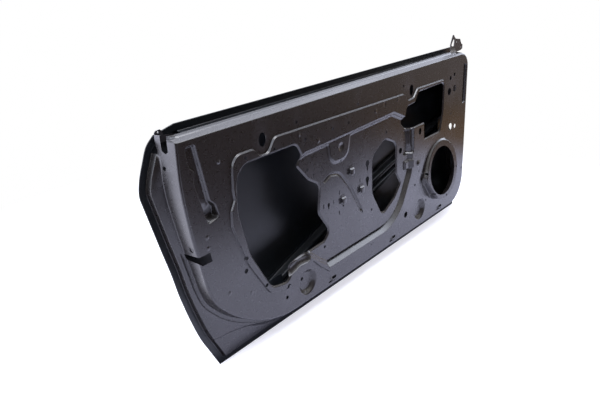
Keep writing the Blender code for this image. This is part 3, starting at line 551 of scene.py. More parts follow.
def rim_depth(points):
    """The face, its rolled edge, the wall, the flange and the step down into the hem."""
    outward = -inside(points, FACE, 95)
    inward = inside(points, HEM_OPEN, 40)
    lip = lip_depth(points)
    beyond = np.maximum(outward - wall_reach(lip - FLANGE_DROP), 0)
    left = np.maximum(inward - STEP_OUTER, 0.001)
    share = beyond / (beyond + left)
    flange = lip - FLANGE_DROP + (FLANGE_DROP - STEP_DROP) * share
    flange = flange + CORNER_DEPTH * swell(inside(points, CORNER_STEP, 8) + 3, CORNER_WIDTH)
    bead = swell(beyond - BEAD_START, 4) * (1 - swell(beyond - BEAD_END, 5))
    flange = flange - BEAD_HEIGHT * bead * (points[:, 1] < BEAD_TOP)
    depth = np.where(outward < -9, 0, soft_least(rolled_edge(outward), flange, 4.0))
    seam = skin_depth(points) - 2 * SHEET - SEAM_GAP
    return depth + (seam - depth) * swell(STEP_OUTER - inward, STEP_WIDTH)


def groove(points, line, half_width, deep, fullness):
    """A round groove along a line, flatter in its bed the lower its fullness."""
    away = np.clip(inside(points, line, half_width + 1, closed=False) / half_width, 0, 1)
    return deep * (1 - away**2) ** fullness


def ramp(inward, width):
    """A straight slope from 0 to 1."""
    return np.clip(inward / width, 0, 1)


def regulator_depth(points):
    """The sunk panel: two narrow ramps with a ledge between them, which the bay interrupts."""
    within = inside(points, REGULATOR_PANEL)
    second = ramp(within - REGULATOR_STEP - REGULATOR_LEDGE, REGULATOR_STEP)
    second = second * (1 - swell(inside(points, REGULATOR_BAY, BAY_WIDTH + 2), BAY_WIDTH))
    depth = REGULATOR_DEPTH / 2 * (ramp(within, REGULATOR_STEP) + second)
    # Along the harness channel one steep ramp takes the place of the two
    within = inside(points, HARNESS_SIDE, 24)
    slope = ramp(within, HARNESS_RAMP)
    channel = (REGULATOR_DEPTH + HARNESS_DEPTH) * slope
    channel = channel - HARNESS_DEPTH * swell(within - HARNESS_RAMP - HARNESS_BED, HARNESS_DROP)
    share = swell(points[:, 0] - HARNESS_START, HARNESS_FADE)
    share = share * swell(-points[:, 1] - HARNESS_END, HARNESS_TOP_FADE)
    return depth + (channel - depth) * share


def pocket_depth(points):
    """The pull handle's pocket, deeper towards the steep ramp at its foot."""
    foot = ramp(points[:, 1] + POCKET_FOOT, POCKET_RAMP)
    deep = np.interp(-points[:, 1], POCKET_DEEPENS, (POCKET_TOP_DEPTH, POCKET_FOOT_DEPTH))
    return deep * np.minimum(swell(inside(points, PULL_POCKET), POCKET_SHOULDER), foot)


def pressed_depth(points):
    """Everything that is pressed into the face, out of it, or turned down round an opening."""
    depth = sum(rise * swell(inside(points, outline), width) for outline, rise, width in SHOULDERS)
    depth = depth + pocket_depth(points)
    depth = depth + regulator_depth(points) + groove(points, SILL_GROOVE, SILL_HALF_WIDTH, SILL_DEPTH, 0.8)
    depth = depth + groove(points, ARC_GROOVE, ARC_HALF_WIDTH, ARC_DEPTH, 1.2)
    for dimple in DIMPLES:
        within = DIMPLE_RADIUS - np.linalg.norm(points - dimple, axis=1)
        depth = depth + DIMPLE_DEPTH * swell(within, DIMPLE_SLOPE)
    for x, z, radius, rise in BUMPS:
        depth = depth + rise * swell(radius - np.linalg.norm(points - (x, z), axis=1), radius * 0.8)
    for x in CLIP_PLACES:
        depth = depth - CLIP_SHOULDER * swell(inside(points, clip_recess(x), 4), CLIP_SHOULDER)
    x, z = points.T
    top, side = SPEAKER[1] + SPEAKER_RADIUS + PAD_MARGIN, SPEAKER[0] - SPEAKER_RADIUS - PAD_MARGIN
    pad = -PAD_HEIGHT - PAD_TILT * (top - z) - PAD_TURN * (x - side)
    share = swell(inside(points, SPEAKER_PAD), PAD_SHOULDER)
    depth = depth * (1 - share) + pad * share
    for opening in ROLLED_OPENINGS:
        depth = depth + LIP_DEPTH * swell(inside(points, opening) + LIP_INSET, LIP_WIDTH)
    return depth


def belt_depth(z):
    """The fold over the top of the main face, and the strip above it."""
    past = np.clip(z - BELT_START, 0, None)
    steep = BELT_ROLL * math.sin(BELT_LEAN)
    arc = BELT_ROLL - np.sqrt(BELT_ROLL**2 - np.minimum(past, steep) ** 2)
    fold = arc + math.tan(BELT_LEAN) * np.maximum(past - steep, 0)
    band = BELT_LIP + math.tan(STRIP_LEAN) * (z - BELT_RISE)
    return soft_least(fold, band, 1.0)


def panel_depth(points):
    """The rim and the pressed forms, or the belt where that lies deeper."""
    belt = np.where(points[:, 1] > BELT_START, belt_depth(points[:, 1]), -99)
    return np.maximum(rim_depth(points) + pressed_depth(points), belt)


REGULATOR_SPOT = np.array([(700.0, -150.0)])
print("depth of the regulator panel:", round(float(panel_depth(REGULATOR_SPOT)[0]), 1), "mm")

# %% [markdown]
# The sheet itself is cut into triangles that keep to the drawn lines, so every bend has its own
# rows of points and the flats need almost none. The back of the sheet and its cut edge are made
# in the same step. Shading follows the exact slope of the form and not the triangles, and that
# keeps the flats as calm as real sheet metal.


# %% Sheets from a flat map
TO_CABIN = np.array((0.0, -1.0, 0.0))
SNAP = 0.02


def triangles(rim, lines, points, holes):
    """Triangles inside the rim that keep to the given (line, closed) pairs and leave out the holes."""
    rim = np.asarray(rim, np.float32).astype(float)
    holes = [np.asarray(hole, np.float32).astype(float) for hole in holes]
    places, edges = [], []
    for line, closed in [(rim, True)] + lines + [(hole, True) for hole in holes]:
        first = len(places)
        places += [Vector(place) for place in line]
        edges += [(first + i, first + i + 1) for i in range(len(line) - 1)]
        if closed:
            edges.append((first + len(line) - 1, first))
    places += [Vector(place) for place in points]
    found = delaunay_2d_cdt(places, edges, [], 0, SNAP)
    spots = np.array([tuple(place) for place in found[0]])
    faces = np.array([face for face in found[2] if len(face) == 3])
    middle = spots[faces].mean(1)
    keep = inside(middle, rim, 30) > 0
    for hole in holes:
        keep &= inside(middle, hole, 2) < 0
    faces = faces[keep]
    used, index = np.unique(faces, return_inverse=True)
    return spots[used], index.reshape(faces.shape)


def sheet_mesh(name, surface, normals, faces, thickness, finish):
    """One closed piece of sheet: its surface, its back and its cut edge, with exact shading."""
    a, b, c = (surface[faces[:, i]] for i in range(3))
    if (np.cross(b - a, c - a) * normals[faces[:, 0]]).sum() < 0:
        faces = faces[:, ::-1]
    count = len(surface)
    vertices = (np.vstack((surface, surface - normals * thickness)) - ORIGIN) * MM
    ends = np.vstack((faces[:, :2], faces[:, 1:], faces[:, [2, 0]]))
    codes, turned = ends[:, 0] * count + ends[:, 1], ends[:, 1] * count + ends[:, 0]
    a, b = ends[~np.isin(codes, turned)].T
    rim = np.stack((b, a, a + count, b + count), 1)
    mesh = bpy.data.meshes.new(name)
    mesh.from_pydata(vertices.tolist(), [], faces.tolist() + (faces[:, ::-1] + count).tolist() + rim.tolist())
    across = np.cross(vertices[a] - vertices[b], vertices[a + count] - vertices[a])
    across = across / np.maximum(np.linalg.norm(across, axis=1), 1e-12)[:, None]
    shading = np.vstack((normals[faces.ravel()], -normals[faces[:, ::-1].ravel()], np.repeat(across, 4, 0)))
    mesh.shade_smooth()
    mesh.normals_split_custom_set(shading.tolist())
    mesh.materials.append(finish)
    piece = bpy.data.objects.new(name, mesh)
    bpy.context.scene.collection.objects.link(piece)
    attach(piece, "root")
    print(name, "triangles:", 2 * len(faces) + 2 * len(rim))
    return piece


def unit(vectors):
    """Vectors brought to a length of one."""
    return vectors / np.maximum(np.linalg.norm(vectors, axis=-1), 1e-12)[..., None]


def stamped(name, rim, holes, lines, place, thickness, finish):
    """A sheet cut to a rim with holes, where place() bends the flat map into its form."""
    spots, faces = triangles(rim, lines, [], holes)
    step = 0.1
    along = place(spots + (step, 0)) - place(spots - (step, 0))
    upward = place(spots + (0, step)) - place(spots - (0, step))
    normals = unit(np.cross(along, upward))
    if (normals @ TO_CABIN).sum() < 0:
        normals = -normals
    return sheet_mesh(name, place(spots), normals, faces, thickness, finish)


def strip(name, grid, thickness, finish):
    """A folded strip through rows of places that all have the same count."""
    grid = np.asarray(grid, float)
    rows, across = grid.shape[:2]
    normals = unit(np.cross(np.gradient(grid, axis=0), np.gradient(grid, axis=1)))
    if (normals @ TO_CABIN).sum() < 0:
        normals = -normals
    a = (np.arange(rows - 1)[:, None] * across + np.arange(across - 1)).ravel()
    faces = np.vstack((np.stack((a, a + 1, a + across + 1), 1), np.stack((a, a + across + 1, a + across), 1)))
    return sheet_mesh(name, grid.reshape(-1, 3), normals.reshape(-1, 3), faces, thickness, finish)


def bent(profile, radius, steps=4):
    """A folded line in space with a small bend at each of its corners."""
    profile = np.asarray(profile, float)
    points = [profile[0]]
    for before, here, after in zip(profile[:-2], profile[1:-1], profile[2:]):
        back, ahead = before - here, after - here
        reach = min(radius, 0.45 * np.linalg.norm(back), 0.45 * np.linalg.norm(ahead))
        start, end = here + unit(back) * reach, here + unit(ahead) * reach
        for t in np.linspace(0, 1, steps + 1):
            points.append((1 - t) ** 2 * start + 2 * t * (1 - t) * here + t * t * end)
    return np.array(points + [profile[-1]])


# %% [markdown]
# The shell is dipped in electrophoretic primer, which car makers call e-coat: a thin epoxy film
# with a satin gloss that follows every bend. The inner panel came out a warm charcoal and the
# skin almost black. Epoxy has an IOR near 1.55. The panel's is a little higher and the skin's
# lower, to match how strongly each mirrors its surroundings. The fine texture that the film keeps
# from the steel makes the gloss soft. The bends are a little paler, partly where handling rubs
# them and partly as a painted highlight along each bend.


# %% Paint helpers
def linear(code):
    """An sRGB hex colour as linear red, green, blue and alpha."""
    parts = [int(code[i : i + 2], 16) / 255 for i in (1, 3, 5)]
    return (*[p / 12.92 if p <= 0.04045 else ((p + 0.055) / 1.055) ** 2.4 for p in parts], 1.0)


def add(tree, kind, inputs=None, **settings):
    """A node with its settings, and its inputs set or linked."""
    made = tree.nodes.new(kind)
    for key, value in settings.items():
        setattr(made, key, value)
    for key, value in (inputs or {}).items():
        if isinstance(value, bpy.types.NodeSocket):
            tree.links.new(value, made.inputs[key])
        else:
            made.inputs[key].default_value = value
    return made


def per_metre(size_mm):
    """The noise scale that gives features of this size."""
    return 1000.0 / size_mm


def e_coat(name, dark, pale, bend_wear_and_highlight, gloss, ior):
    """Dipped epoxy primer: two close tones, a soft gloss and pale bends, partly rubbed wear and partly a
    painted highlight.
    """
    made = bpy.data.materials.new(name)
    made.use_nodes = True
    tree = made.node_tree
    place = add(tree, "ShaderNodeTexCoord").outputs["Object"]
    # Runs and pools in the dipped film, a hand's width across
    pools = add(tree, "ShaderNodeTexNoise", {"Vector": place, "Scale": per_metre(120), "Detail": 3.0})
    spread = {"Value": pools.outputs["Fac"], "From Min": 0.3, "From Max": 0.7}
    spread = add(tree, "ShaderNodeMapRange", spread)
    tone = {"Factor": spread.outputs[0], "A": linear(dark), "B": linear(pale)}
    tone = add(tree, "ShaderNodeMix", tone, data_type="RGBA")
    # Dust and handling marks, a few millimetres across
    dust = {"Vector": place, "Scale": per_metre(9), "Detail": 6.0, "Roughness": 0.65}
    dust = add(tree, "ShaderNodeTexNoise", dust).outputs["Fac"]
    # Paler on the outer bends, where the pointiness is over a half: partly rubbed by handling, partly a
    # painted highlight
    bends = add(tree, "ShaderNodeNewGeometry").outputs["Pointiness"]
    bends = {"Value": bends, "From Min": 0.53, "From Max": 0.62, "To Max": 0.6}
    bends = add(tree, "ShaderNodeMapRange", bends)
    patchy = add(tree, "ShaderNodeMath", {0: bends.outputs[0], 1: dust}, operation="MULTIPLY")
    worn_and_lit = {"Factor": patchy.outputs[0], "A": tone.outputs["Result"], "B": linear(bend_wear_and_highlight)}
    worn_and_lit = add(tree, "ShaderNodeMix", worn_and_lit, data_type="RGBA")
    rough = {"Value": dust, "From Min": 0.3, "From Max": 0.7, "To Min": gloss - 0.02, "To Max": gloss + 0.03}
    rough = add(tree, "ShaderNodeMapRange", rough)
    # The film's own texture: 0.4 mm in the real paint, drawn at 2 mm so that it can show
    peel = add(tree, "ShaderNodeTexNoise", {"Vector": place, "Scale": per_metre(2), "Detail": 2.0})
    film = add(tree, "ShaderNodeBump", {"Height": peel.outputs["Fac"], "Strength": 0.05, "Distance": 0.0002})
    shader = tree.nodes["Principled BSDF"]
    tree.links.new(worn_and_lit.outputs["Result"], shader.inputs["Base Color"])
    tree.links.new(rough.outputs[0], shader.inputs["Roughness"])
    tree.links.new(film.outputs[0], shader.inputs["Normal"])
    shader.inputs["IOR"].default_value = ior
    return made


def zinc_plate(name):
    """Zinc-plated steel: bright, slightly blue, with dull blooms and a fine spangle."""
    made = bpy.data.materials.new(name)
    made.use_nodes = True
    tree = made.node_tree
    place = add(tree, "ShaderNodeTexCoord").outputs["Object"]
    spangle = add(tree, "ShaderNodeTexVoronoi", {"Vector": place, "Scale": per_metre(3)})
    rough = {"Value": spangle.outputs["Distance"], "To Min": 0.28, "To Max": 0.45}
    rough = add(tree, "ShaderNodeMapRange", rough)
    bloom = add(tree, "ShaderNodeTexNoise", {"Vector": place, "Scale": per_metre(12), "Detail": 4.0})
    tone = {"Factor": bloom.outputs["Fac"], "A": linear("#8e8f94"), "B": linear("#b4b6ba")}
    tone = add(tree, "ShaderNodeMix", tone, data_type="RGBA")
    film = add(tree, "ShaderNodeBump", {"Height": bloom.outputs["Fac"], "Strength": 0.15, "Distance": 0.0003})
    shader = tree.nodes["Principled BSDF"]
    tree.links.new(tone.outputs["Result"], shader.inputs["Base Color"])
    tree.links.new(rough.outputs[0], shader.inputs["Roughness"])
    tree.links.new(film.outputs[0], shader.inputs["Normal"])
    shader.inputs["Metallic"].default_value = 1.0
    return made


# %% [markdown]
# The nut plates and the check strap's plate aren't painted but zinc-plated: a thin bright layer
# from an electric bath, slightly blue, with dull blooms where it has aged. It is a metal, so it
# keeps the default IOR, and its look comes from the roughness.

# %% The three finishes
panel_paint = e_coat("panel_e_coat_charcoal", "#141110", "#191615", "#434247", 0.28, 1.62)
skin_paint = e_coat("skin_e_coat_black", "#0b0d0f", "#0f1215", "#282d33", 0.34, 1.40)
plating = zinc_plate("zinc_plated_steel")
print("materials:", [m.name for m in (panel_paint, skin_paint, plating)])

# %% [markdown]
# The inner panel is the piece that the eye reads, so its lines are the closest: every shoulder
# gets six rows, the rolled edge ten, and the grooves rows along both of their sides.


# %% Lines that the inner panel keeps to
def beside(line, shares, half_width):
    """Rows that run along both sides of a groove's middle line."""
    line = divided(line, step=14)
    ahead = unit(np.gradient(line, axis=0))
    normal = np.stack((-ahead[:, 1], ahead[:, 0]), 1)
    return [(line + side * half_width * normal, False) for share in shares for side in (share, -share)]


def round_ends(line, half_width):
    """Rings round both ends of a groove."""
    radii = [half_width * share for share in (0.4, 0.7, 0.88, 0.98, 1.04)]
    return [(ring(*end, radius, sides=20), True) for end in (line[0], line[-1]) for radius in radii]


def shoulder_rows(outline, width, shares=(0, 0.2, 0.4, 0.6, 0.8, 1)):
    """Rows down a shoulder, and one just outside each end that keeps the flats flat."""
    steps = [width * share for share in shares] + [-0.9, width * shares[-1] + 0.9]
    return [(offset(divided(outline, True), -step), True) for step in steps]


def panel_lines(edge, foot):
    """All lines of the inner panel, from the hem inwards."""
    lines = []
    for share in (0, 0.2, 0.4, 0.6, 0.8, 1):
        lines.append((offset(HEM, -(STEP_INNER + STEP_WIDTH * share))[SIDES], False))
    rows = [np.full(len(FACE), away) for away in (-6.1, -5.2, -4.2, -3.2, -2.2, -1.3, -0.5, 0, 0.4, 0.75)]
    rows += [foot + away for away in (-1.2, -0.7, -0.3, 0.2, 1.5, 4, 8, 10, 12, 14, 17, 21)]
    for away in rows:
        lines.append((divided(offset(FACE, away)[: len(edge)]), False))
    for height in (-7.9, -7, -6.4, -5.8, -5.2, -4.7, -4.3, -4.0, -2.5, -1.5, -1.0, -0.5, 0, 0.6, 2, 4):
        ends = np.array([(LATCH_EDGE[0, 0] - 8, height), (1242, height)], float)
        lines.append((divided(ends, step=30), False))
    for outline, _, width in SHOULDERS:
        lines += shoulder_rows(outline, width)
    lines += shoulder_rows(PULL_POCKET, POCKET_SHOULDER)
    for height in (-0.8, 0, 0.8, 4, 8, 12.2, 13, 13.8):
        lines.append((np.array([(40, height - POCKET_FOOT), (100, height - POCKET_FOOT)], float), False))
    lines += shoulder_rows(REGULATOR_PANEL, REGULATOR_STEP) + shoulder_rows(REGULATOR_BAY, BAY_WIDTH)
    foot_of_step = offset(divided(REGULATOR_PANEL, True), -REGULATOR_STEP - REGULATOR_LEDGE)
    lines += shoulder_rows(foot_of_step, REGULATOR_STEP)
    lines += shoulder_rows(SPEAKER_PAD, PAD_SHOULDER)
    for opening in ROLLED_OPENINGS:
        lines += shoulder_rows(opening, 1, (-6, -5, -4, -3, -2, -1))
    for x, z in DIMPLES:
        for share in (-0.06, 0, 0.15, 0.3, 0.45, 0.6, 0.75, 0.9, 1, 1.06):
            lines.append((ring(x, z, DIMPLE_RADIUS - DIMPLE_SLOPE * share, sides=40), True))
    for x, z, radius, _ in BUMPS:
        lines += [(ring(x, z, radius * share, sides=14), True) for share in (1.1, 1, 0.8, 0.6, 0.4, 0.2)]
    for x in CLIP_PLACES:
        lines += shoulder_rows(clip_recess(x), CLIP_SHOULDER, (0, 0.5, 1))
    lines += beside(SILL_GROOVE, (0, 0.3, 0.55, 0.75, 0.9, 0.98, 1.04), SILL_HALF_WIDTH)
    lines += round_ends(SILL_GROOVE, SILL_HALF_WIDTH)
    channel = HARNESS_RAMP + HARNESS_BED
    rows = (-0.9, -0.3, 0.3, 4, 8, 12.7, 13.3, channel, channel + 1.2, channel + 2.5, channel + 3.8)
    for away in rows + (channel + HARNESS_DROP, channel + HARNESS_DROP + 0.9):
        lines.append((offset(divided(HARNESS_SIDE, True), -away), True))
    for x in HARNESS_START + HARNESS_FADE * np.array((0, 0.3, 0.5, 0.7, 1)):
        lines.append((np.array([(x, -464), (x, -438)], float), False))
    lines += beside(ARC_GROOVE, (0, 0.35, 0.7, 0.95, 1.1), ARC_HALF_WIDTH)
    lines += round_ends(ARC_GROOVE, ARC_HALF_WIDTH)
    lines += [(offset(CORNER_STEP, away)[:-2], False) for away in (-2, 0, 1.5, 3)]
    return lines


# %% The inner panel
def build_inner_panel():
    """Its rim follows the hem from the latch end to the hinges, and comes back over the belt."""
    edge = np.vstack((LATCH_EDGE, HINGE_EDGE))
    foot = wall_reach(lip_depth(FACE) - FLANGE_DROP)
    corner = offset(FACE, foot + 3)[len(LATCH_EDGE) : len(edge)]
    corner = corner[(corner[:, 1] > -45) & (corner[:, 1] < -1)]
    x0 = LATCH_EDGE[0, 0] - wall_reach(42)
    belt = divided(np.array([(BRACKET_X, BELT_RISE), (x0, BELT_RISE)]))
    seam = offset(HEM, -(2 * SHEET + 2 * SEAM_GAP))[SIDES]
    flat = offset(HEM, -STEP_INNER)[SIDES]
    step = offset(HEM, -STEP_OUTER)[SIDES]
    end = [(BRACKET_X + 40, -1), (BRACKET_X, -1)]
    rim = np.vstack((seam, flat[-1:], step[-1:], corner, end, belt, [(x0, -24)], step[:1], flat[:1]))

    def place(spots):
        return np.stack((spots[:, 0], panel_depth(spots), spots[:, 1]), 1)

    lines = panel_lines(edge, foot)
    piece = stamped("inner_panel_pressing", rim, panel_holes(), lines, place, SHEET, panel_paint)
    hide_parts("inner_panel")


build_inner_panel()

# %% [markdown]
# The outer skin is one fair sheet. Its edge is folded round the inner panel's flange, and that
# fold, the hem, is what the eye sees as the dark band all round. The fold is a half turn of
# 12 steps whose shading turns with it.


# %% The outer skin and its hem
HANDLE_CORNERS = ((70, -96, -1, 1), (226, -90, 1, 1), (228, -124, 1, -1), (72, -130, -1, -1))
DISH_DEPTH = 5.0
DISH_REACH = 8.0
LOCK_HOLE = (40, -118, 11)


def handle_opening(grow=0.0):
    """The outside handle's opening, or a line this far outside it."""
    return rounded([(x + grow * right, z + grow * up, 12 + grow) for x, z, right, up in HANDLE_CORNERS])


def build_outer_skin():
    """The face from its flat map, then the hem, folded over row by row."""
    fold = FOLD_THICKNESS / 2

    def place(spots):
        dish = DISH_DEPTH * swell(inside(spots, handle_opening()) + DISH_REACH, DISH_REACH + 1)
        return np.stack((spots[:, 0], skin_depth(spots) - dish, spots[:, 1]), 1)

    def normals_at(spots):
        along = place(spots + (0.5, 0)) - place(spots - (0.5, 0))
        upward = place(spots + (0, 0.5)) - place(spots - (0, 0.5))
        return -unit(np.cross(along, upward))

    rim = offset(HEM, -fold)
    inner = offset(HEM, -(HEM_WIDTH + 6))
    grid = np.array([(x, z) for z in np.arange(-540, -10, 26) for x in np.arange(0, 1320, 34)], float)
    grid = grid[(inside(grid, inner, 30) > 8) & (inside(grid, handle_opening(10), 6) < -4)]
    lines = [(inner, True)] + [(handle_opening(grow), True) for grow in (1, 2, 3.5, 5, 6.5, 8)]
    spots, faces = triangles(rim, lines, grid, [handle_opening(), ring(*LOCK_HOLE)])
    surface, normals = [place(spots)], [normals_at(spots)]
    out = np.stack((sideways(HEM)[:, 0], np.zeros(len(HEM)), sideways(HEM)[:, 1]), 1)
    turns = np.linspace(0, math.pi, 13)
    rows = [(fold * (1 - math.sin(turn)), fold * (1 - math.cos(turn)), turn) for turn in turns]
    # Then the flat of the hem, and its free edge, which is turned in a little
    rows += [(HEM_WIDTH - 1.2, 2 * fold, math.pi), (HEM_WIDTH, 2 * fold - 0.3, 0.8 * math.pi)]
    for inset, sunk, turn in rows:
        loop = offset(HEM, -inset)
        upright = normals_at(loop)
        surface.append(np.stack((loop[:, 0], skin_depth(loop) - sunk, loop[:, 1]), 1))
        side = unit(out - (out * upright).sum(1)[:, None] * upright)
        lean = side if inset < HEM_WIDTH - 0.5 else -side
        normals.append(unit(math.sin(turn) * lean + math.cos(turn) * upright))
    first, count = len(spots), len(HEM)
    here = np.arange(count)
    hem = []
    for row in range(len(surface) - 2):
        a, b = first + row * count + here, first + row * count + np.roll(here, -1)
        hem += [np.stack((a, b, b + count), 1), np.stack((a, b + count, a + count), 1)]
    hem = np.vstack(hem)
    surface, normals = np.vstack(surface), np.vstack(normals)
    a, b, c = (surface[hem[:, i]] for i in range(3))
    if (np.cross(b - a, c - a) * normals[hem[:, 0]]).sum() < 0:
        hem = hem[:, ::-1]
    a, b, c = (surface[faces[:, i]] for i in range(3))
    if np.cross(b - a, c - a)[:, 1].sum() < 0:
        faces = faces[:, ::-1]
    key = np.round(surface, 3)
    _, keep, index = np.unique(key, axis=0, return_index=True, return_inverse=True)
    faces = index.reshape(-1)[np.vstack((faces, hem))]
    piece = sheet_mesh("outer_skin_pressing", surface[keep], normals[keep], faces, SHEET, skin_paint)
    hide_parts("outer_skin")


build_outer_skin()

# %% [markdown]
# Behind the skin lies the side impact beam, a strip of high-strength steel with two ribs, and
# along the window slot run the belt strips. They are roll-formed, so each is one profile that is
# carried along a line.


# %% Belt strips and side beam
def skin_at(x, z):
    """The depth of the skin at one place."""
    return float(skin_depth(np.array([(x, z)], float))[0])


def build_belt_strips():
    """The two strips beside the window slot, each a profile carried along the belt."""
    top = divided(np.vstack((HEM_HINGE[-1:] - (52, 0), HEM_TOP)), step=30)
    top[-1, 0] += 8
    rows = []
    for x, z in top:
        row = [(x, skin_at(x, z - low) - 2 * SHEET - SEAM_GAP, z - low) for low in (3.2, 17.5)]
        row += [(x, SLOT_OUTER, z - 22), (x, SLOT_OUTER, z - 52)]
        row += [(x, skin_at(x, z - 60) - 9, z - 60), (x, skin_at(x, z - 72) - 7, z - 72)]
        rows.append(bent(row, 3.0))
    outer = strip("outer_belt_strip", rows, SHEET, skin_paint)
    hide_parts("outer_belt_reinforcement")
    back, low = BELT_LIP + SHEET + 2 * SEAT_GAP, SHEET + 2 * SEAT_GAP
    profile = [(back, BELT_RISE - 1), (back, -4), (back + 4, -10), (back + 4, -26), (low, -33), (low, -37)]
    rows = [bent([(x, y, z) for y, z in profile], 3.0) for x in np.linspace(108, BRACKET_X - 8, 30)]
    inner = strip("inner_belt_strip", rows, 1.0, skin_paint)
    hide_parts("inner_belt_reinforcement")


BEAM_SHEET = 1.8
BEAM_SEAT = 3.6
BEAM_RIB = 19.0
BEAM_HALF_HEIGHT = 31.0
BEAM_START = 290.0
BEAM_END = 1258.0
BEAM_CLIMB = 0.2215


def build_side_beam():
    """The beam climbs towards the hinges, and its foot follows the inside of the skin."""
    ribs = ((1.0, 0), (0.8, 0), (0.66, 1), (0.27, 1), (0.13, 0.3))
    profile = [(-BEAM_HALF_HEIGHT * out, rise) for out, rise in ribs]
    profile += [(BEAM_HALF_HEIGHT * out, rise) for out, rise in ribs[::-1]]
    rows = []
    for x in np.linspace(BEAM_START, BEAM_END, 60):
        middle = -464 + BEAM_CLIMB * (x - 315)
        foot = [skin_at(x, middle + up) - BEAM_SEAT - BEAM_SHEET for up, _ in profile]
        row = [(x, deep - BEAM_RIB * rise, middle + up) for (up, rise), deep in zip(profile, foot)]
        rows.append(bent(row, 5.0, 5))
    beam = strip("side_beam_strip", rows, BEAM_SHEET, skin_paint)
    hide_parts("side_impact_beam")


build_belt_strips()
build_side_beam()

# %% [markdown]
# The bracket at the upper hinge corner holds the mirror and the front end of the slot's seal. It
# is a 2 mm stamping with a window in it. The lug at the latch end closes the slot there.


# %% Corner bracket and lug
BRACKET_SHEET = 2.0
LUG_SHEET = 1.6
SHELF_TOP = -2.0
SHELF_FOOT = -21.0
SHELF_FALL = 5.0


def build_corner_bracket():
    """An upright stamping, joined by a shelf to its foot behind the main face."""
    outline = rounded(
        [
            (1200, -38, 3), (1240, -38, 3), (1240, -21, 0), (1240, -2, 0), (1250, 2, 3), (1278, 4, 3),
            (1291, 8, 4), (1291, 22, 4), (1281, 25, 3), (1271, 41, 4), (1237, 46, 3), (1229, 52, 2),
            (1221, 60, 2.5), (1216, 58, 2.5), (1200, 30, 4), (1200, -2, 0), (1200, -21, 0),
        ]
    )
    window = rounded([(1207, 25, 3), (1226, 22, 3), (1229, 42, 3), (1223, 47, 3), (1209, 33, 3)])
    level, back = BELT_LIP + SHEET + 2 * SEAT_GAP, SHEET + 1.5 * SEAT_GAP

    def place(spots):
        u, v = spots.T
        shelf = np.clip((SHELF_TOP - v) / (SHELF_TOP - SHELF_FOOT), 0, 1)
        depth = level + (back - level) * shelf
        height = np.maximum(v, SHELF_TOP) - SHELF_FALL * shelf + np.minimum(v - SHELF_FOOT, 0)
        return np.stack((u, depth, height), 1)

    lines = [(np.array([(BRACKET_X, v), (BRACKET_X + 50, v)], float), False) for v in (SHELF_TOP, SHELF_FOOT)]
    holes = [window, ring(1281, 14, 3, sides=16), ring(1246, 34, 3, sides=16)]
    piece = stamped("corner_bracket_stamping", outline, holes, lines, place, BRACKET_SHEET, panel_paint)
    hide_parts("mirror_bracket")


def build_rear_lug():
    """A flat tab with one hole at the latch end of the belt."""
    x, z = HEM_TOP[-1]
    outline = rounded(
        [
            (x - 52, -14, 2), (x + 2, -14, 2), (x + 2, -5, 2), (x - 30, 0, 4), (x - 34, z - 6, 3),
            (x - 38, z - 3, 2), (x - 48, z - 4, 2), (x - 52, z - 8, 3),
        ]
    )
    level = float(lip_depth(HEM_TOP[-1:])[0]) - LUG_SHEET - 1.5 * SEAT_GAP

    def place(spots):
        return np.stack((spots[:, 0], np.full(len(spots), level), spots[:, 1]), 1)

    hole = ring(x - 43, z - 8, 2.0, sides=16)
    piece = stamped("rear_lug_stamping", outline, [hole], [], place, LUG_SHEET, panel_paint)
    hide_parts("rear_belt_lug")


build_corner_bracket()
build_rear_lug()

# %% [markdown]
# Three cage nuts clip into the regulator's panel. Each is a spring-steel hood over a square nut.
# The hood is a short folded strip whose top edge catches the light.


# %% Cage nuts
CAGE_NUTS = ((589, -224), (548, -294), (637, -290))
NUT_HALF_WIDTH = 9.0
HOOD_HEIGHT = 6.0
HOOD_CROWN = 1.2
HOOD_SHEET = 1.0


def build_cage_nuts():
    """Folded hoods on the sunk panel, with a slightly crowned top."""
    for number, (x, z) in enumerate(CAGE_NUTS, 1):
        level = float(panel_depth(np.array([(x, z)], float))[0]) - SEAT_GAP - HOOD_SHEET
        rows = []
        for side in np.linspace(-NUT_HALF_WIDTH, NUT_HALF_WIDTH, 7):
            top = level - HOOD_HEIGHT + HOOD_CROWN * (side / NUT_HALF_WIDTH) ** 4
            profile = [(level, 13), (level, 8), (top, 4), (top, -10), (level - HOOD_HEIGHT / 2, -12)]
            rows.append(bent([(x + side, y, z + up) for y, up in profile], 1.6))
        nut = strip(f"cage_nut_hood_{number}", rows, HOOD_SHEET, panel_paint)
        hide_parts(f"cage_nut_{number}")


build_cage_nuts()

# %% [markdown]
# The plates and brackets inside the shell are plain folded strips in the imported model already,
# so they stay, and take the same finishes as the pieces that they are welded to.

# %% Finishes of the pieces that stay
KEPT = {
    "beam_front_bracket": skin_paint, "beam_rear_bracket": skin_paint,
    "upper_hinge_reinforcement": panel_paint, "lower_hinge_reinforcement": panel_paint,
    "latch_reinforcement": panel_paint, "handle_reinforcement": panel_paint,
    "front_glass_guide": panel_paint, "upper_hinge_nut_plate": plating,
    "lower_hinge_nut_plate": plating, "check_strap_plate": plating,
}
for name, finish in KEPT.items():
    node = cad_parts[name]
    if not node.material_slots:
        node.data.materials.append(finish)
    for material_slot in node.material_slots:
        material_slot.material = finish
print("kept pieces:", len(KEPT))

# %% [markdown]
# The door stands on a white table in a dim studio. The camera sees only the white, but the satin
# paint mirrors all of it: the table up to its front edge turns the lower part of the door a cool
# grey, and the brown dusk beyond it leaves the upper part dark. So the floor is white to the
# camera everywhere, and to the paint only as far as the table's edge. It could be lit so with
# lamps and flags too, but areas painted on the floor are easier to place and stay put.


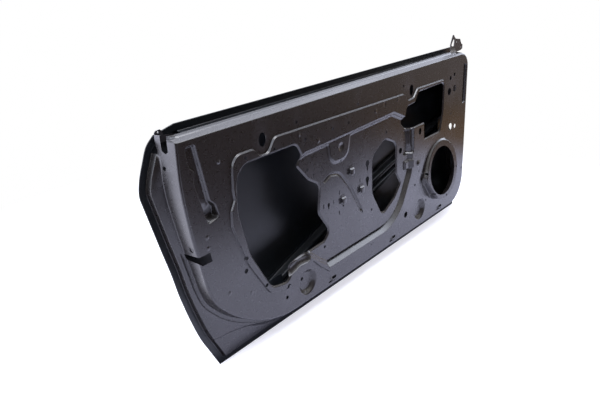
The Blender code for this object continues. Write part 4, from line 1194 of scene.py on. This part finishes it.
# %% Floor
def area_share(tree, *edges):
    """One inside an area, zero outside it: the product of its soft edges (value, start, end)."""
    share = None
    for value, start, end in edges:
        edge = {"Value": value, "From Min": start, "From Max": end}
        edge = add(tree, "ShaderNodeMapRange", edge, interpolation_type="SMOOTHSTEP").outputs[0]
        if share is not None:
            edge = add(tree, "ShaderNodeMath", {0: share, 1: edge}, operation="MULTIPLY").outputs[0]
        share = edge
    return share


def layered(tree, ground, *layers):
    """A ground colour with layers (share, colour) laid over it, one after the other."""
    for share, colour in layers:
        layer = {"Factor": share, "A": ground, "B": colour}
        ground = add(tree, "ShaderNodeMix", layer, data_type="RGBA").outputs["Result"]
    return ground


TABLE_FRONT = -0.56
# White to the camera. To the paint, this floor holds painted reflections, a painted shadow and a painted
# glow.
floor_paint = bpy.data.materials.new("white_table_with_painted_reflections")
floor_paint.use_nodes = True
tree = floor_paint.node_tree
tree.nodes.remove(tree.nodes["Principled BSDF"])
ray = add(tree, "ShaderNodeLightPath")
place = add(tree, "ShaderNodeTexCoord").outputs["Object"]
where = add(tree, "ShaderNodeSeparateXYZ", {"Vector": place})
along, across = where.outputs["X"], where.outputs["Y"]

# Painted reflection: the pale table that the paint mirrors, up to its front edge, and further forward at the
# latch end and in one more painted pale patch
latch_end = area_share(tree, (along, -1.30, -1.70), (across, -0.66, -0.52))
painted_pale_patch = area_share(tree, (along, -1.50, -1.34), (along, -0.68, -0.90), (across, -1.8, -1.4))
table = add(tree, "ShaderNodeMath", {0: painted_pale_patch, 1: latch_end}, operation="MAXIMUM")
front = area_share(tree, (across, TABLE_FRONT - 0.08, TABLE_FRONT + 0.08))
table = add(tree, "ShaderNodeMath", {0: front, 1: table.outputs[0]}, operation="MAXIMUM")
hinge_end = area_share(tree, (along, 0.80, 0.50))
table = add(tree, "ShaderNodeMath", {0: table.outputs[0], 1: hinge_end}, operation="MULTIPLY").outputs[0]

# Painted shadow and light: the floor right under the door is painted dark as the door's shadow, and behind it
# painted bright as full light
foot = area_share(tree, (across, -0.04, -0.01), (along, 0.15, 0.05), (along, -1.50, -1.40))
behind = area_share(tree, (across, 0.03, 0.08))

# Painted reflection: beyond the hinge end the painted dusk is a little lighter, and one patch of it glows
# warm though no lamp is there
far = area_share(tree, (along, 0.9, 1.9))
warm_glow_centre_distance = add(tree, "ShaderNodeVectorMath", {0: place, 1: (1.05, -0.52, FLOOR)}, operation="DISTANCE")
painted_warm_glow = area_share(tree, (warm_glow_centre_distance.outputs["Value"], 0.62, 0.25))

# What the paint mirrors: a painted floor tone with painted shadow and light in it, and a painted glow that
# the floor sends out though it is no lamp
painted_floor_tone = layered(
    tree, linear("#2e221c"), (table, linear("#c6c6cc")), (foot, linear("#404046")),
    (behind, linear("#e6e6ea")),
)
painted_floor_glow = layered(
    tree, (0.20, 0.20, 0.38, 1.0), (latch_end, (0.50, 0.50, 0.74, 1.0)), (foot, (0.14, 0.15, 0.21, 1.0)),
    (behind, (1.90, 1.90, 2.30, 1.0)),
)
painted_dusk = layered(tree, linear("#1c1410"), (far, (0.36, 0.31, 0.29, 1.0)))
painted_floor_glow = layered(tree, painted_dusk, (table, painted_floor_glow), (painted_warm_glow, (0.42, 0.24, 0.07, 1.0)))
painted_floor_tone = add(tree, "ShaderNodeBsdfDiffuse", {"Color": painted_floor_tone})
painted_floor_glow = add(tree, "ShaderNodeEmission", {"Color": painted_floor_glow})
mirrored = add(tree, "ShaderNodeAddShader", {0: painted_floor_tone.outputs[0], 1: painted_floor_glow.outputs[0]})

# What the camera sees: white with the door's soft shadow, and plain white far from the door
shaded = add(tree, "ShaderNodeBsdfDiffuse", {"Color": (0.50, 0.50, 0.50, 1.0)})
lift = add(tree, "ShaderNodeEmission", {"Color": (0.60, 0.60, 0.66, 1.0)})
seen = add(tree, "ShaderNodeAddShader", {0: shaded.outputs[0], 1: lift.outputs[0]})
middle = add(tree, "ShaderNodeVectorMath", {0: place, 1: (-0.65, 0.0, FLOOR)}, operation="DISTANCE")
away = area_share(tree, (middle.outputs["Value"], 0.9, 1.5))
white = add(tree, "ShaderNodeEmission", {"Color": (1.0, 1.0, 1.0, 1.0)})
seen = add(tree, "ShaderNodeMixShader", {0: away, 1: seen.outputs[0], 2: white.outputs[0]})
both = {0: ray.outputs["Is Camera Ray"], 1: mirrored.outputs[0], 2: seen.outputs[0]}
both = add(tree, "ShaderNodeMixShader", both)
tree.links.new(both.outputs[0], tree.nodes["Material Output"].inputs["Surface"])
print("floor nodes:", len(tree.nodes))

# %% Table top
SIDE = 40.0
CORNERS = [(-SIDE, -SIDE, FLOOR), (SIDE, -SIDE, FLOOR), (SIDE, SIDE, FLOOR), (-SIDE, SIDE, FLOOR)]
floor_mesh = bpy.data.meshes.new("table_top")
floor_mesh.from_pydata(CORNERS, [], [(0, 1, 2, 3)])
floor_mesh.materials.append(floor_paint)
floor = bpy.data.objects.new("table_top", floor_mesh)
bpy.context.scene.collection.objects.link(floor)
print("table top:", 2 * SIDE, "m square")

# %% [markdown]
# The light is a wide softbox overhead and a second one behind the door, whose mirror image draws
# the bright lines along every edge that faces up. The world is what the paint mirrors above the
# table: a pale backdrop behind the door with a brighter window low in it, and in front a dim room
# with one thin strip light. Each is a band of directions, so its edges stay soft at any distance.

# %% World
# Bands are measured along this direction, which points behind the door and up
LEAN_BACK = (0.0, 0.887, 0.46)
ROOM = (0.20, 0.19, 0.20, 1.0)
BACKDROP = (2.1, 2.2, 2.6, 1.0)
STRIP_LIGHT = (2.2, 2.1, 2.0, 1.0)
WINDOW = (5.2, 5.5, 6.4, 1.0)
world = bpy.data.worlds.new("room")
bpy.context.scene.world = world
world.use_nodes = True
tree = world.node_tree
tree.nodes.clear()
ray = add(tree, "ShaderNodeLightPath")
towards = add(tree, "ShaderNodeTexCoord").outputs["Generated"]
across = add(tree, "ShaderNodeVectorMath", {0: towards, 1: LEAN_BACK}, operation="DOT_PRODUCT")
across = across.outputs["Value"]
sky = layered(tree, ROOM, (area_share(tree, (across, -0.06, 0.04)), BACKDROP))
for middle, far, near, colour in ((-0.24, 0.09, 0.03, STRIP_LIGHT), (0.10, 0.13, 0.07, WINDOW)):
    off = add(tree, "ShaderNodeMath", {0: across, 1: middle}, operation="SUBTRACT")
    off = add(tree, "ShaderNodeMath", {0: off.outputs[0]}, operation="ABSOLUTE")
    sky = layered(tree, sky, (area_share(tree, (off.outputs[0], far, near)), colour))
room = add(tree, "ShaderNodeBackground", {"Color": sky})
white = add(tree, "ShaderNodeBackground", {"Color": (1.0, 1.0, 1.0, 1.0)})
clear = {0: ray.outputs["Is Camera Ray"], 1: ray.outputs["Is Transmission Ray"]}
clear = add(tree, "ShaderNodeMath", clear, operation="MAXIMUM")
both = add(tree, "ShaderNodeMixShader", {0: clear.outputs[0], 1: room.outputs[0], 2: white.outputs[0]})
tree.links.new(both.outputs[0], add(tree, "ShaderNodeOutputWorld").inputs["Surface"])
print("world nodes:", len(tree.nodes))


# %% Lamps
def softbox(name, place, target, width, depth, power, colour):
    """A rectangular studio lamp that faces a point."""
    lamp = bpy.data.lights.new(name, "AREA")
    lamp.shape = "RECTANGLE"
    lamp.size, lamp.size_y = width, depth
    lamp.energy = power
    lamp.color = colour
    stand = bpy.data.objects.new(name, lamp)
    stand.location = place
    stand.rotation_euler = (Vector(target) - Vector(place)).to_track_quat("-Z", "Y").to_euler()
    stand.visible_camera = False
    bpy.context.scene.collection.objects.link(stand)


DOOR_MIDDLE = (-0.65, 0.0, -0.15)
softbox("softbox_overhead", (-0.5, -0.3, 2.0), DOOR_MIDDLE, 1.6, 0.7, 34, (0.97, 0.97, 1.0))
softbox("softbox_behind", (1.2, 1.9, 1.3), DOOR_MIDDLE, 2.8, 1.0, 30, (0.90, 0.92, 1.0))
print("lamps:", len(bpy.data.lights))

# %% [markdown]
# The camera looks at the cabin side from near the latch end and a little from above, through a
# lens of 38 mm. It stands close, so the latch end looms and the hinge end runs away. Its three
# axes are written out, because two angles and a target would leave its roll open.

# %% Camera
FOCAL_LENGTH = 38.4
SENSOR_WIDTH = 36.0
CAMERA_PLACE = (-2.0724, -0.9443, 0.4217)
scene = bpy.context.scene
lens = bpy.data.cameras.new("camera")
lens.lens = FOCAL_LENGTH
lens.sensor_width = SENSOR_WIDTH
camera = bpy.data.objects.new("camera", lens)
right, up, back = (0.6150, -0.7875, -0.0386), (0.3007, 0.1890, 0.9348), (-0.7289, -0.5865, 0.3530)
turned = Matrix((right, up, back)).transposed().to_4x4()
turned.translation = CAMERA_PLACE
camera.matrix_world = turned
scene.collection.objects.link(camera)
scene.camera = camera
scene.view_settings.view_transform = "Standard"
print("camera at", CAMERA_PLACE, "m")
